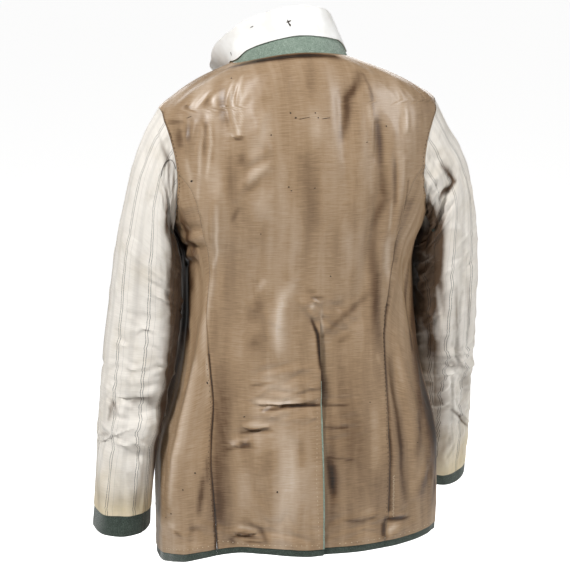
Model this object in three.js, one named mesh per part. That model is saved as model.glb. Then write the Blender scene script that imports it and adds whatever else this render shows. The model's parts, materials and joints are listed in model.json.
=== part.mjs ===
// A uniform tunic turned inside out and filled out as if worn: the lining is outside and the wool
// cloth inside. Millimetres, +Z up, back of the tunic towards +Y, wearer's left towards +X.
// Heights are measured from the hem at the centre back; the whole garment is then lowered so that
// the origin lies where the neck of a wearer holds it.
import * as THREE from 'three';

// ---- Driving dimensions -------------------------------------------------------------------------
const WALL = 2.4;              // wool, canvas and lining together
const SEAM_GAP = 0.3;          // between two panels at a seam
const JOIN_GAP = 0.45;         // between a panel's rim and the sleeve or collar set into it
const NECK_LEVEL = 713;        // level of the collar seam
const TIP_LEVEL = 650;         // level of the shoulder tips, where the sleeves start
const UNDERARM_LEVEL = 478;    // level of the lowest point of the armholes
const HELD_HEIGHT = 713;       // height of the origin above the hem

const HEM_BAND = 11;           // wool that shows below the lining at the hem
const HEM_STEP = 0.9;          // the wool lies this far inside the lining's face
const HEM_SWAY_REACH = 200;    // the hem's rise and fall has faded out at this height

const ARMHOLE_SIDES = 20;      // points round an armhole and round each ring of a sleeve
const ARMHOLE_POWER = 2.2;     // 2 is an ellipse, more is squarer
const BACK_SEAM_SIDE = 7;      // the sleeve's back seam, counted from the shoulder tip
const FRONT_SEAM_SIDE = 13;
const SLEEVE_RADIUS = 55;      // turns an angle round a sleeve into a length
const ARMHOLE_BLEND = 130;     // a sleeve takes its own section over this length
const CUFF_STEP = 0.8;         // the cuff's wool lies this far inside the lining's face

const VENT_ANGLE = -3.4;       // degrees from the centre back
const VENT_TOP = 355;
const UNDERLAP_TOP = 300;      // the lower flap passes under the upper one below this level
const UNDERLAP = 42;           // width of the lower flap under the upper one
const UNDERLAP_DROP = 4.2;     // how far the lower flap lies inside the upper one
const UNDERLAP_BLEND = 55;     // width over which the lower flap sinks
const VENT_GAPE = 3.2;         // open width of the slit near its top

const COLLAR_WALL = 2.6;
const LINER_WALL = 1.3;
const LINER_RISE = 3;          // the liner stands this far above the collar's edge
const LINER_GAP = 0.9;

const BUTTON_RADIUS = 10;
const BUTTON_HEIGHT = 5.5;
const BUTTON_GAP = 0.35;
const BUTTON_INSET = 22;       // from the front edge
const BUTTON_SIDES = 12;
const BUTTON_LEVELS = [600, 500, 400, 300, 205];

const COLORS = {
  lining: '#9c7f62', sleeveLining: '#e6dfce', wool: '#56655a', collarWool: '#6c8270',
  cotton: '#f1f1ee', button: '#8d8f8c',
};

// ---- Tables -------------------------------------------------------------------------------------
const table = (columns, rows) =>
  rows.map((row) => Object.fromEntries(columns.map((name, i) => [name, row[i]])));

// Sections of the body. Each is a closed curve: half widths to the left and right, depths to the
// back and front, and the height of its back, side and front points.
const SECTIONS = table(
  ['level', 'backZ', 'leftZ', 'rightZ', 'frontZ', 'left', 'right', 'back', 'front', 'square'], [
    [0, 0, 0, 0, 0, 209, 223, 139, 128, 2.35],
    [60, 60, 60, 60, 60, 209, 224, 139, 128, 2.35],
    [130, 130, 130, 130, 130, 208, 223, 137, 127, 2.35],
    [180, 180, 180, 180, 180, 199, 215, 132, 124, 2.35],
    [240, 240, 240, 240, 240, 183, 199, 126, 119, 2.35],
    [300, 300, 300, 300, 300, 172, 188, 121, 115, 2.35],
    [360, 360, 360, 360, 360, 166, 181, 118, 113, 2.35],
    [410, 410, 410, 410, 410, 165, 179, 119, 115, 2.35],
    [445, 445, 445, 445, 445, 170, 185, 121, 118, 2.35],
    [478, 479, 478, 478, 477, 183, 198, 124, 121, 2.4],
    [520, 522, 520, 520, 516, 194, 208, 126, 123, 2.4],
    [564, 568, 564, 564, 553, 200, 214, 125, 121, 2.3],
    [610, 620, 610, 613, 586, 206, 222, 119, 115, 2.18],
    [632, 643, 631, 635, 599, 205, 223, 114, 110.5, 2.08],
    [650, 664, 650, 655, 609, 198, 216, 108, 106, 2.04],
    [668, 684, 668, 669, 620, 176, 195, 101, 101, 2.25],
    [684, 702, 684, 683, 630, 152, 169, 93, 95, 2.42],
    [698, 717, 698, 700, 639, 125, 131, 84, 88, 2.45],
    [713, 731, 713, 720, 650, 89, 81, 72, 77, 2.1],
  ]);

// Rise and fall of the hem round the body, by angle from the centre back towards the left.
const HEM_SWAY = table(['angle', 'rise'], [
  [-180, 0], [-150, -8], [-120, -16], [-90, -20], [-60, 0], [-30, 0], [0, 0],
  [30, 11], [60, -14], [90, -28], [120, -22], [150, -10], [180, 0],
]);

// Seams down the body, in degrees from the centre back.
const SIDE_BACK_LEFT = table(['level', 'angle'], [
  [0, 40.5], [75, 41.6], [205, 46], [300, 52.5], [364, 56], [420, 55], [462, 53], [513, 52],
  [540, 55], [564, 62],
]);
const SIDE_BACK_RIGHT = table(['level', 'angle'], [
  [0, -27.5], [55, -29.5], [167, -30.5], [267, -34.5], [363, -38.6], [429, -42.5], [473, -40.5],
  [511, -41], [541, -45.5], [564, -53],
]);
const SIDE_FRONT = table(['level', 'angle'], [[0, 125], [300, 118], [478, 121], [540, 122], [564, 120]]);
const FRONT_EDGE = table(['level', 'angle'], [[0, 172.5], [120, 174], [360, 175.5], [600, 173],
  [NECK_LEVEL, 169]]);

// Armholes: reach towards the back and the front from the side line, in degrees.
const ARMHOLES = {
  left: { back: 27, front: 30, seam: SIDE_BACK_LEFT },
  right: { back: 37, front: 30, seam: SIDE_BACK_RIGHT },
};

// Folds of the body: soft ridges (depth over 0) and troughs (under 0) along a line on the surface.
const BODY_FOLDS = table(
  ['fromAngle', 'fromLevel', 'toAngle', 'toLevel', 'width', 'depth'], [
    [-15, 690, -11, 590, 14, -4],
    [-26, 640, -25.5, 510, 14, -4.5],
    [-28.5, 530, -23.6, 350, 15, -5],
    [-33, 560, -30, 330, 13, 3.5],
    [-37, 356, -39.5, 174, 15, -5],
    [-39.5, 174, -42, 40, 17, -6],
    [-34, 330, -35, 60, 14, 4],
    [-52, 470, -66, 300, 16, -5],
    [38, 560, 45, 460, 13, 3.5],
    [55, 400, 57, 300, 14, 3.5],
    [58, 334, 64, 150, 18, 5],
    [64, 160, 67, 50, 18, 5],
    [51, 250, 49, 30, 14, -4.5],
    [25, 232, -1, 227, 9, -5],
    [37, 187, 20, 195, 9, -3.5],
    [30, 30, 12, 52, 12, -4],
    [7, 382, -1.5, 368, 11, 4],
    [-3, 346, -20, 380, 12, -3],
    [12, 400, 25, 296, 20, 4],
    [20, 690, 24, 560, 14, 3.5],
    [88, 430, 84, 190, 18, -4],
    [-92, 430, -86, 150, 18, -4],
    [112, 430, 106, 130, 20, 4],
    [-112, 430, -108, 130, 20, 4],
    [140, 520, 150, 120, 20, 4.5],
    [-140, 520, -152, 140, 20, 4.5],
    [-128, 330, -132, 40, 16, -4.5],
    [128, 300, 134, 40, 16, -4.5],
    [160, 250, 135, 235, 12, -4],
    [-160, 240, -138, 228, 12, -4],
  ]);

// Sleeves: rings from the armhole down, as an outer and an inner (body side) point in the view from
// behind, with the ring's middle, its half depth and how far the ring tips forward.
const SLEEVE_COLUMNS = ['down', 'outerX', 'outerZ', 'innerX', 'innerZ', 'middleY', 'halfDepth', 'tip'];
const SLEEVES = {
  left: {
    rings: table(SLEEVE_COLUMNS, [
      [0, 198, 650, 183, 478, 0, 60, 0],
      [40, 218, 617, 185, 460, 1, 64, 0],
      [95, 237, 568, 175, 441, 2, 66, 0],
      [160, 253, 505, 169.5, 419, 3, 64, 0],
      [230, 267, 435, 170, 384, 4, 59, 0],
      [300, 277, 368, 172, 343, 5, 55, 0],
      [370, 287, 298, 179, 291, 6, 54, 2],
      [440, 293, 228, 192, 226, 7, 53, 5],
      [520, 298, 152, 211, 152, 6, 51, 6],
      [590, 302, 84, 217, 86, 1, 50, 6],
      [648, 306, 26, 219, 31, -5, 51, 6],
    ]),
    liningEnd: 615,
  },
  right: {
    rings: table(SLEEVE_COLUMNS, [
      [0, 216, 655, 198, 478, 2, 62, 0],
      [40, 233, 620, 198, 461, 3, 66, 0],
      [95, 260, 567, 191, 443, 4, 67, 0],
      [160, 277, 500, 185, 420, 4, 63, 0],
      [230, 285, 430, 184, 384, 3, 58, 2],
      [300, 289, 362, 187, 332, 0, 56, 8],
      [370, 294, 298, 195, 277, -16, 55, 18],
      [440, 304, 236, 209, 218, -46, 54, 25],
      [520, 314, 162, 224, 150, -84, 51, 27],
      [590, 322, 100, 234, 92, -114, 50, 27],
      [664, 331, 36, 241, 32, -147, 51, 27],
    ]),
    liningEnd: 638,
  },
};

// Folds of the sleeves, by side round the ring (degrees from the shoulder tip towards the back) and
// distance down the sleeve.
const SLEEVE_FOLDS = {
  left: table(['fromTurn', 'fromDown', 'toTurn', 'toDown', 'width', 'depth'], [
    [56, 436, 140, 442, 15, -7], [0, 512, 60, 494, 13, -5], [66, 518, 128, 512, 14, -6],
    [85, 470, 130, 480, 16, 4], [150, 430, 215, 410, 15, -6], [100, 35, 122, 130, 13, -6],
    [25, 70, 40, 330, 18, 4], [66, 60, 70, 330, 15, -4], [112, 190, 120, 420, 15, 4],
    [225, 330, 300, 350, 15, -5], [240, 390, 300, 380, 15, -6], [30, 540, 42, 620, 14, 4],
    [62, 535, 72, 620, 14, -4], [290, 120, 300, 320, 16, -4], [170, 110, 190, 330, 16, -4],
  ]),
  right: table(['fromTurn', 'fromDown', 'toTurn', 'toDown', 'width', 'depth'], [
    [84, 395, 46, 515, 14, -7], [92, 520, 30, 545, 13, -6], [70, 440, 120, 452, 15, -5],
    [70, 55, 142, 118, 14, -8], [95, 150, 100, 330, 14, 5], [118, 120, 124, 360, 15, -6],
    [30, 60, 48, 330, 17, 4], [66, 140, 72, 350, 15, -4], [205, 390, 300, 372, 15, -7],
    [215, 430, 300, 445, 15, -6], [20, 400, 24, 500, 15, -4], [100, 560, 104, 640, 13, 4],
    [56, 550, 62, 640, 14, -4], [290, 120, 300, 320, 16, -4], [170, 130, 180, 330, 16, -4],
  ]),
};

// The collar, by angle from the centre back: length of the stand, and its lean (over 0 inwards).
const COLLAR = table(['angle', 'length', 'lean', 'linerStart'], [
  [-162, 55, 12, 0.06], [-120, 58, 18, 0.05], [-80, 60, 24, 0.08], [-65, 64, 25, 0.26],
  [-45, 68, 26, 0.34], [0, 68, 25, 0.37], [45, 62, 14, 0.32], [60, 59, 9, 0.26],
  [75, 52, 4, 0.1], [90, 41, -6, 0.06], [105, 35, -28, 0.06], [120, 37, -60, 0.06],
  [138, 57, -76, 0.06], [152, 58, -79, 0.06],
]);

// ---- Curves -------------------------------------------------------------------------------------
const { degToRad, clamp, lerp, smoothstep } = THREE.MathUtils;

// A smooth curve through one column of a table, with no overshoot between its rows.
function curve(rows, along, value) {
  const x = rows.map((row) => row[along]);
  const y = rows.map((row) => row[value]);
  const width = x.slice(1).map((next, i) => next - x[i]);
  const rise = width.map((w, i) => (y[i + 1] - y[i]) / w);
  const slope = x.map((_, i) => {
    if (i === 0) return rise[0];
    if (i === x.length - 1) return rise[i - 1];
    const product = rise[i - 1] * rise[i];
    return product <= 0 ? 0 : (2 * product) / (rise[i - 1] + rise[i]);
  });
  return (at) => {
    let i = 0;
    while (i < width.length - 1 && at > x[i + 1]) i += 1;
    const t = clamp((at - x[i]) / width[i], 0, 1);
    const t2 = t * t;
    const t3 = t2 * t;
    return (2 * t3 - 3 * t2 + 1) * y[i] + (t3 - 2 * t2 + t) * width[i] * slope[i]
      + (3 * t2 - 2 * t3) * y[i + 1] + (t3 - t2) * width[i] * slope[i + 1];
  };
}

const curvesOf = (rows, along) => Object.fromEntries(
  Object.keys(rows[0]).filter((name) => name !== along).map((name) => [name, curve(rows, along, name)]));

// Height of the soft folds at a spot (x, y), each fold a line with a bell-shaped section.
function foldHeight(x, y, folds) {
  let height = 0;
  for (const fold of folds) {
    const dx = fold.x2 - fold.x1;
    const dy = fold.y2 - fold.y1;
    const t = ((x - fold.x1) * dx + (y - fold.y1) * dy) / (dx * dx + dy * dy);
    const along = clamp(t, 0, 1);
    const away = Math.hypot(x - fold.x1 - along * dx, y - fold.y1 - along * dy) / fold.width;
    const ends = 0.35 + 0.65 * Math.sin(Math.PI * along);
    height += fold.depth * ends * Math.exp(-away * away);
  }
  return height;
}

// ---- The body's surface -------------------------------------------------------------------------
const section = curvesOf(SECTIONS, 'level');
const hemRise = curve(HEM_SWAY, 'angle', 'rise');
const FOLD_RADIUS = 160;       // turns an angle into a length round the body
const bodyFolds = BODY_FOLDS.map((fold) => ({
  x1: degToRad(fold.fromAngle) * FOLD_RADIUS, y1: fold.fromLevel,
  x2: degToRad(fold.toAngle) * FOLD_RADIUS, y2: fold.toLevel,
  width: fold.width, depth: fold.depth,
}));

// A point of the cloth's outer face, by angle in degrees from the centre back and by level.
function bodyPoint(angle, level) {
  const turn = degToRad(angle);
  const sin = Math.sin(turn);
  const cos = Math.cos(turn);
  const power = section.square(level);
  const round = (Math.abs(sin) ** power + Math.abs(cos) ** power) ** (-1 / power);
  const half = sin > 0 ? section.left(level) : section.right(level);
  const depth = cos > 0 ? section.back(level) : section.front(level);
  const sideZ = sin > 0 ? section.leftZ(level) : section.rightZ(level);
  const endZ = cos > 0 ? section.backZ(level) : section.frontZ(level);
  const fold = foldHeight(turn * FOLD_RADIUS, level, bodyFolds) * (1 - smoothstep(level, 690, 710));
  const hemFade = Math.max(0, 1 - level / HEM_SWAY_REACH) ** 2;
  return new THREE.Vector3(
    half * round * sin + fold * sin,
    depth * round * cos + fold * cos,
    sideZ + (endZ - sideZ) * cos * cos + hemRise(angle) * hemFade);
}

function bodyNormal(angle, level) {
  const across = bodyPoint(angle + 0.5, level).sub(bodyPoint(angle - 0.5, level));
  const low = Math.max(level - 2, 0);
  const high = Math.min(level + 2, NECK_LEVEL);
  const up = bodyPoint(angle, high).sub(bodyPoint(angle, low));
  return up.cross(across).normalize();
}

// A spot on the body: a point and the way out of the cloth there, moved out or in by `out`.
function bodySpot(angle, level, out = 0) {
  const normal = bodyNormal(angle, level);
  return { point: bodyPoint(angle, level).addScaledVector(normal, out), normal };
}

const spotAt = ({ angle, level, out }) => bodySpot(angle, level, out);

// ---- Cloth sheets and their walls ---------------------------------------------------------------
// A sheet is a set of named spots and four-sided faces, seen from outside with corners in the order
// low left, high left, high right, low right where "right" is one step along the first count.
function newSheet() {
  return { spots: [], faces: [], byName: new Map() };
}

function addFace(sheet, corners, spotOf) {
  sheet.faces.push(corners.map((corner) => {
    const name = corner.join();
    if (!sheet.byName.has(name)) {
      sheet.byName.set(name, sheet.spots.length);
      sheet.spots.push(spotOf(...corner));
    }
    return sheet.byName.get(name);
  }));
}

function gridSheet(columns, rows, spotOf) {
  const sheet = newSheet();
  for (let i = 0; i < columns; i += 1) {
    for (let j = 0; j < rows; j += 1) {
      addFace(sheet, [[i, j], [i, j + 1], [i + 1, j + 1], [i + 1, j]], spotOf);
    }
  }
  return sheet;
}

// The closed wall of a sheet: its outer face, its inner face and a rim along each free edge.
function wallGeometry(sheet, wall) {
  const count = sheet.spots.length;
  const positions = [];
  sheet.spots.forEach(({ point }) => positions.push(...point));
  sheet.spots.forEach(({ point, normal }) =>
    positions.push(...point.clone().addScaledVector(normal, -wall)));
  const triangles = [];
  const edges = new Map();
  for (const face of sheet.faces) {
    const [a, b, c, d] = face;
    triangles.push(a, b, c, a, c, d);
    triangles.push(a + count, c + count, b + count, a + count, d + count, c + count);
    face.forEach((start, i) => {
      const end = face[(i + 1) % 4];
      if (edges.has(`${end},${start}`)) edges.delete(`${end},${start}`);
      else edges.set(`${start},${end}`, [start, end]);
    });
  }
  // A rim face is split along its shorter diagonal, as its neighbour across a seam is.
  const spot = (index) => new THREE.Vector3(...positions.slice(3 * index, 3 * index + 3));
  for (const [start, end] of edges.values()) {
    const falling = spot(end).distanceTo(spot(start + count));
    const rising = spot(start).distanceTo(spot(end + count));
    if (falling < rising) triangles.push(end, start, start + count, end, start + count, end + count);
    else triangles.push(end, start, end + count, start, start + count, end + count);
  }
  const geometry = new THREE.BufferGeometry();
  geometry.setAttribute('position', new THREE.Float32BufferAttribute(positions, 3));
  geometry.setIndex(triangles);
  return geometry;
}

const tunic = new THREE.Group();
tunic.position.z = -HELD_HEIGHT;

const materials = Object.fromEntries(Object.entries(COLORS).map(([name, color]) =>
  [name, { color, roughness: name === 'button' ? 0.45 : 0.85, metalness: name === 'button' ? 0.7 : 0 }]));

function addPiece(name, geometry, finish) {
  const mesh = new THREE.Mesh(geometry, new THREE.MeshStandardMaterial(materials[finish]));
  mesh.name = name;
  tunic.add(mesh);
  return mesh;
}

// ---- Armholes and levels ------------------------------------------------------------------------
const ARMHOLE_MIDDLE = (TIP_LEVEL + UNDERARM_LEVEL) / 2;
const ARMHOLE_HALF = (TIP_LEVEL - UNDERARM_LEVEL) / 2;
const squared = (value) => Math.sign(value) * Math.abs(value) ** (2 / ARMHOLE_POWER);

// Angle and level of a point of the armhole, counted from the shoulder tip towards the back.
function armholeSpot(side, step) {
  const turn = (2 * Math.PI * step) / ARMHOLE_SIDES;
  const away = squared(Math.sin(turn));
  const reach = away > 0 ? ARMHOLES[side].back : ARMHOLES[side].front;
  const sign = side === 'left' ? 1 : -1;
  const level = ARMHOLE_MIDDLE + ARMHOLE_HALF * squared(Math.cos(turn));
  return { angle: sign * (90 - reach * away), level };
}

const QUARTER = ARMHOLE_SIDES / 4;
const LOW_ROWS = 19;           // rows from the hem to the middle of the armhole
const HIGH_ROWS = 6;           // rows from the shoulder tip to the neck
// Row levels shared by the back and the fronts, so that their seams keep the same points.
const panelLevels = [];
for (let j = 0; j <= LOW_ROWS; j += 1) {
  panelLevels.push(lerp(HEM_BAND, ARMHOLE_MIDDLE, j / LOW_ROWS));
}
for (let j = QUARTER - 1; j >= 0; j -= 1) panelLevels.push(armholeSpot('left', j).level);
for (let j = 1; j <= HIGH_ROWS; j += 1) panelLevels.push(lerp(TIP_LEVEL, NECK_LEVEL, j / HIGH_ROWS));

const halfGapAngle = (level) =>
  THREE.MathUtils.radToDeg(SEAM_GAP / 2 / ((section.back(level) + section.left(level)) / 2));

// The back's or a front's edge towards the side: a seam, then the armhole, then the shoulder seam.
function outerEdge(side, row, atBack) {
  const level = panelLevels[row];
  const sign = side === 'left' ? 1 : -1;
  const inward = (atBack ? -sign : sign) * halfGapAngle(level);
  if (row <= LOW_ROWS) {
    const seam = atBack ? ARMHOLES[side].seam : SIDE_FRONT;
    const angle = curve(seam, 'level', 'angle')(level);
    return (atBack ? angle : sign * angle) + inward;
  }
  if (row <= LOW_ROWS + QUARTER) {
    const step = QUARTER - (row - LOW_ROWS);
    return armholeSpot(side, atBack ? step : ARMHOLE_SIDES - step).angle + (step === 0 ? inward : 0);
  }
  return sign * 90 + inward;
}

// ---- Back, with its vent ------------------------------------------------------------------------
const BACK_HALF_COLUMNS = 14;
const UNDERLAP_COLUMNS = 3;
const ventRow = panelLevels.findIndex((level) => level > VENT_TOP);
const underlapRow = panelLevels.findIndex((level) => level > UNDERLAP_TOP);
const lengthToAngle = (length, level) => THREE.MathUtils.radToDeg(length / section.left(level));

function backPlace(flap, i, j) {
  const level = panelLevels[j];
  const below = j < ventRow;
  const gape = below ? (VENT_GAPE / 2) * smoothstep(VENT_TOP - level, 0, 40) : 0;
  const edgeAngle = lengthToAngle(gape, level);
  if (i > 0 || (i === 0 && flap === 'upper')) {
    const start = VENT_ANGLE + edgeAngle;
    return { angle: lerp(start, outerEdge('left', j, true), i / BACK_HALF_COLUMNS), level, out: 0 };
  }
  const start = VENT_ANGLE - edgeAngle;
  const lap = i >= 0 ? 0 : -i;
  const angle = flap === 'lap'
    ? start + lengthToAngle((UNDERLAP * lap) / UNDERLAP_COLUMNS, level)
    : lerp(start, outerEdge('right', j, true), lap / BACK_HALF_COLUMNS);
  const sunk = below ? smoothstep(VENT_TOP - level, 0, VENT_TOP - UNDERLAP_TOP) : 0;
  const fromVent = flap === 'lap' ? 0 : (start - angle) / lengthToAngle(UNDERLAP_BLEND, level);
  return { angle, level, out: -UNDERLAP_DROP * sunk * (1 - smoothstep(fromVent, 0, 1)) };
}

function backSheet() {
  const sheet = newSheet();
  const rows = panelLevels.length - 1;
  const face = (nameOf, i, j) => addFace(sheet,
    [nameOf(i, j), nameOf(i, j + 1), nameOf(i + 1, j + 1), nameOf(i + 1, j)],
    (...corner) => spotAt(backPlace(...corner)));
  // Above the vent both halves share their middle column; below it each has its own.
  const upper = (i, j) => [i === 0 && j < ventRow ? 'upper' : 'whole', i, j];
  const lower = (i, j) => [i === 0 && j < ventRow ? 'lower' : 'whole', i, j];
  for (let j = 0; j < rows; j += 1) {
    for (let i = 0; i < BACK_HALF_COLUMNS; i += 1) {
      face(upper, i, j);
      face((column, row) => lower(column - BACK_HALF_COLUMNS, row), i, j);
    }
  }
  // The underlap runs on from the lower half's edge, under the upper one.
  const lap = (i, j) => (i === 0 ? ['lower', 0, j] : ['lap', -i, j]);
  for (let j = 0; j < underlapRow; j += 1) {
    for (let i = 0; i < UNDERLAP_COLUMNS; i += 1) face(lap, i, j);
  }
  return sheet;
}
addPiece('back', wallGeometry(backSheet(), WALL), 'lining');

// ---- Side panels --------------------------------------------------------------------------------
const SIDE_COLUMNS = ARMHOLE_SIDES / 2;

function sidePlace(side, i, j) {
  const sign = side === 'left' ? 1 : -1;
  const top = armholeSpot(side, QUARTER + i);
  const t = j / LOW_ROWS;
  const level = lerp(HEM_BAND, top.level, t);
  const back = curve(ARMHOLES[side].seam, 'level', 'angle')(level) + sign * halfGapAngle(level);
  const front = sign * curve(SIDE_FRONT, 'level', 'angle')(level) - sign * halfGapAngle(level);
  const share = (1 - squared(Math.cos((Math.PI * i) / SIDE_COLUMNS))) / 2;
  const even = i / SIDE_COLUMNS;
  const spread = lerp(even, share, smoothstep(t, 0.5, 1));
  const bend = i === 0 || i === SIDE_COLUMNS ? 0 : smoothstep(t, 0.55, 1);
  return { angle: lerp(lerp(back, front, spread), top.angle, bend), level, out: 0 };
}

// ---- Fronts -------------------------------------------------------------------------------------
const FRONT_COLUMNS = 9;
const frontEdge = curve(FRONT_EDGE, 'level', 'angle');

function frontPlace(side, i, j) {
  const level = panelLevels[j];
  const sign = side === 'left' ? 1 : -1;
  const angle = lerp(outerEdge(side, j, false), sign * frontEdge(level), i / FRONT_COLUMNS);
  return { angle, level, out: 0 };
}

// ---- Panels and the wool hem below each of them -------------------------------------------------
// A hem strip has the lowest points of its panel, set in by a small step.
function addHem(name, columns, placeOf) {
  const sheet = gridSheet(columns, 1, (i, j) => {
    const { angle, out } = placeOf(i, 0);
    return bodySpot(angle, j * (HEM_BAND - SEAM_GAP), out - HEM_STEP);
  });
  addPiece(name, wallGeometry(sheet, WALL - HEM_STEP), 'wool');
}

function addPanel(name, columns, rows, placeOf) {
  const sheet = gridSheet(columns, rows, (i, j) => spotAt(placeOf(i, j)));
  addPiece(name, wallGeometry(sheet, WALL), 'lining');
  addHem(`hem_${name}`, columns, placeOf);
}

for (const side of ['left', 'right']) {
  // Angles grow towards the left, so a right-hand panel is counted the other way.
  const from = (columns, i) => (side === 'left' ? i : columns - i);
  addPanel(`side_${side}`, SIDE_COLUMNS, LOW_ROWS, (i, j) => sidePlace(side, from(SIDE_COLUMNS, i), j));
  addPanel(`front_${side}`, FRONT_COLUMNS, panelLevels.length - 1,
    (i, j) => frontPlace(side, from(FRONT_COLUMNS, i), j));
}
addHem('hem_back_left', BACK_HALF_COLUMNS, (i, j) => backPlace('upper', i, j));
addHem('hem_back_right', BACK_HALF_COLUMNS + UNDERLAP_COLUMNS, (i, j) => {
  const column = i - BACK_HALF_COLUMNS;
  return column > 0 ? backPlace('lap', -column, j) : backPlace('lower', column, j);
});

// ---- Sleeves ------------------------------------------------------------------------------------
const SLEEVE_STEPS = [0, 12, 34, 60, 88, 118, 150, 190, 235, 280, 320, 352, 376, 398, 418, 438, 458,
  478, 498, 518, 540, 572, 604];
const CUFF_ROWS = 2;

function sleeveSurface(side) {
  const sign = side === 'left' ? 1 : -1;
  const ring = curvesOf(SLEEVES[side].rings, 'down');
  const middleRing = (down) => (ring.outerX(down) - ring.innerX(down)) / 2 + ring.halfDepth(down);
  const folds = SLEEVE_FOLDS[side].map((fold) => ({
    x1: degToRad(fold.fromTurn) * SLEEVE_RADIUS, y1: fold.fromDown,
    x2: degToRad(fold.toTurn) * SLEEVE_RADIUS, y2: fold.toDown,
    width: fold.width, depth: fold.depth,
  }));
  const ownPoint = (turn, down) => {
    const tip = degToRad(ring.tip(down));
    const cos = Math.cos(turn);
    const sin = Math.sin(turn);
    const depth = ring.halfDepth(down) * sin;
    const turned = turn < 0 ? turn + 2 * Math.PI : turn;
    const fold = foldHeight(turned * SLEEVE_RADIUS, down, folds) / (middleRing(down) / 2);
    const swell = 1 + fold * smoothstep(down, 20, 90);
    const midX = (ring.outerX(down) + ring.innerX(down)) / 2;
    const midZ = (ring.outerZ(down) + ring.innerZ(down)) / 2;
    return new THREE.Vector3(
      sign * (midX + (ring.outerX(down) - midX) * cos * swell),
      ring.middleY(down) + depth * Math.cos(tip) * swell,
      midZ + (ring.outerZ(down) - midZ) * cos * swell - depth * Math.sin(tip) * swell);
  };
  const armhole = [];
  for (let k = 0; k < ARMHOLE_SIDES; k += 1) {
    const { angle, level } = armholeSpot(side, k);
    armhole.push(bodySpot(angle, level));
  }
  const centre = armhole.reduce((sum, { point }) => sum.add(point), new THREE.Vector3())
    .divideScalar(ARMHOLE_SIDES);
  // The sleeve's first ring stands off the armhole's rim by the join gap.
  const rim = armhole.map(({ point, normal }) => {
    const inward = centre.clone().sub(point);
    inward.addScaledVector(normal, -inward.dot(normal)).normalize();
    return { point: point.clone().addScaledVector(inward, JOIN_GAP), normal, inward };
  });
  const pointAt = (k, down, shift = 0) => {
    const index = (k + ARMHOLE_SIDES) % ARMHOLE_SIDES;
    const turn = (2 * Math.PI * index) / ARMHOLE_SIDES;
    const step = rim[index].point.clone().sub(ownPoint(turn, 0));
    const fade = Math.max(0, 1 - down / ARMHOLE_BLEND) ** 2;
    return ownPoint(turn + shift / SLEEVE_RADIUS, down).addScaledVector(step, fade);
  };
  const normalAt = (k, down) => {
    const across = pointAt(k + 1, down).sub(pointAt(k - 1, down));
    const along = pointAt(k, down + 3).sub(pointAt(k, Math.max(down - 3, 0)));
    return along.cross(across).multiplyScalar(sign).normalize();
  };
  return (k, down, out = 0, shift = 0) => {
    const index = (k + ARMHOLE_SIDES) % ARMHOLE_SIDES;
    const normal = normalAt(k, down);
    if (down === 0 && normal.dot(rim[index].inward) > 0) normal.copy(rim[index].normal);
    return { point: pointAt(k, down, shift).addScaledVector(normal, out), normal };
  };
}

for (const side of ['left', 'right']) {
  const surface = sleeveSurface(side);
  const { liningEnd, rings } = SLEEVES[side];
  const cuffEnd = rings[rings.length - 1].down;
  const steps = SLEEVE_STEPS.filter((down) => down < liningEnd - 12).concat(liningEnd);
  // Each panel's edge columns are moved along the ring by half the seam gap.
  const panel = (first, last) => (i, j) => {
    const column = side === 'left' ? last - i : first + i;
    const shift = column === first ? SEAM_GAP / 2 : column === last ? -SEAM_GAP / 2 : 0;
    return surface(column, steps[steps.length - 1 - j], 0, shift);
  };
  const rows = steps.length - 1;
  const top = [FRONT_SEAM_SIDE - ARMHOLE_SIDES, BACK_SEAM_SIDE];
  const under = [BACK_SEAM_SIDE, FRONT_SEAM_SIDE];
  for (const [name, [first, last]] of [['top', top], ['under', under]]) {
    const sheet = gridSheet(last - first, rows, panel(first, last));
    addPiece(`sleeve_${name}_${side}`, wallGeometry(sheet, WALL), 'sleeveLining');
  }
  const cuff = newSheet();
  const spotOf = (k, j) => surface(side === 'left' ? -k : k,
    lerp(cuffEnd, liningEnd + SEAM_GAP, j / CUFF_ROWS), -CUFF_STEP);
  for (let i = 0; i < ARMHOLE_SIDES; i += 1) {
    const next = (i + 1) % ARMHOLE_SIDES;
    for (let j = 0; j < CUFF_ROWS; j += 1) {
      addFace(cuff, [[i, j], [i, j + 1], [next, j + 1], [next, j]], spotOf);
    }
  }
  addPiece(`cuff_${side}`, wallGeometry(cuff, WALL - CUFF_STEP), 'wool');
}

// ---- Collar and its white liner -----------------------------------------------------------------
const collar = curvesOf(COLLAR, 'angle');
const COLLAR_COLUMNS = 28;
const COLLAR_ROWS = 3;
const COLLAR_START = COLLAR[0].angle;
const COLLAR_END = COLLAR[COLLAR.length - 1].angle;

function collarPoint(angle, rise) {
  const turn = degToRad(angle);
  const { point, normal } = bodySpot(angle, NECK_LEVEL);
  const below = bodyPoint(angle, NECK_LEVEL - 4);
  const inward = point.clone().sub(below).normalize();
  const base = point.clone().addScaledVector(inward, JOIN_GAP);
  const lean = degToRad(collar.lean(angle));
  const outward = new THREE.Vector3(Math.sin(turn) / section.left(NECK_LEVEL),
    Math.cos(turn) / section.back(NECK_LEVEL), 0).normalize();
  const length = collar.length(angle) * rise;
  const foot = rise === 0 ? normal : undefined;
  const spot = base.addScaledVector(outward, -Math.sin(lean) * length);
  spot.z += Math.cos(lean) * length;
  return { point: spot, foot, inward };
}

function collarSpot(angle, rise, out = 0) {
  const across = collarPoint(angle + 0.5, rise).point.sub(collarPoint(angle - 0.5, rise).point);
  const up = collarPoint(angle, rise + 0.05).point.sub(collarPoint(angle, rise).point);
  const normal = up.cross(across).normalize();
  const { point, foot, inward } = collarPoint(angle, rise);
  if (foot && normal.dot(inward) > 0) normal.copy(foot);
  return { point: point.addScaledVector(normal, out), normal };
}

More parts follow.
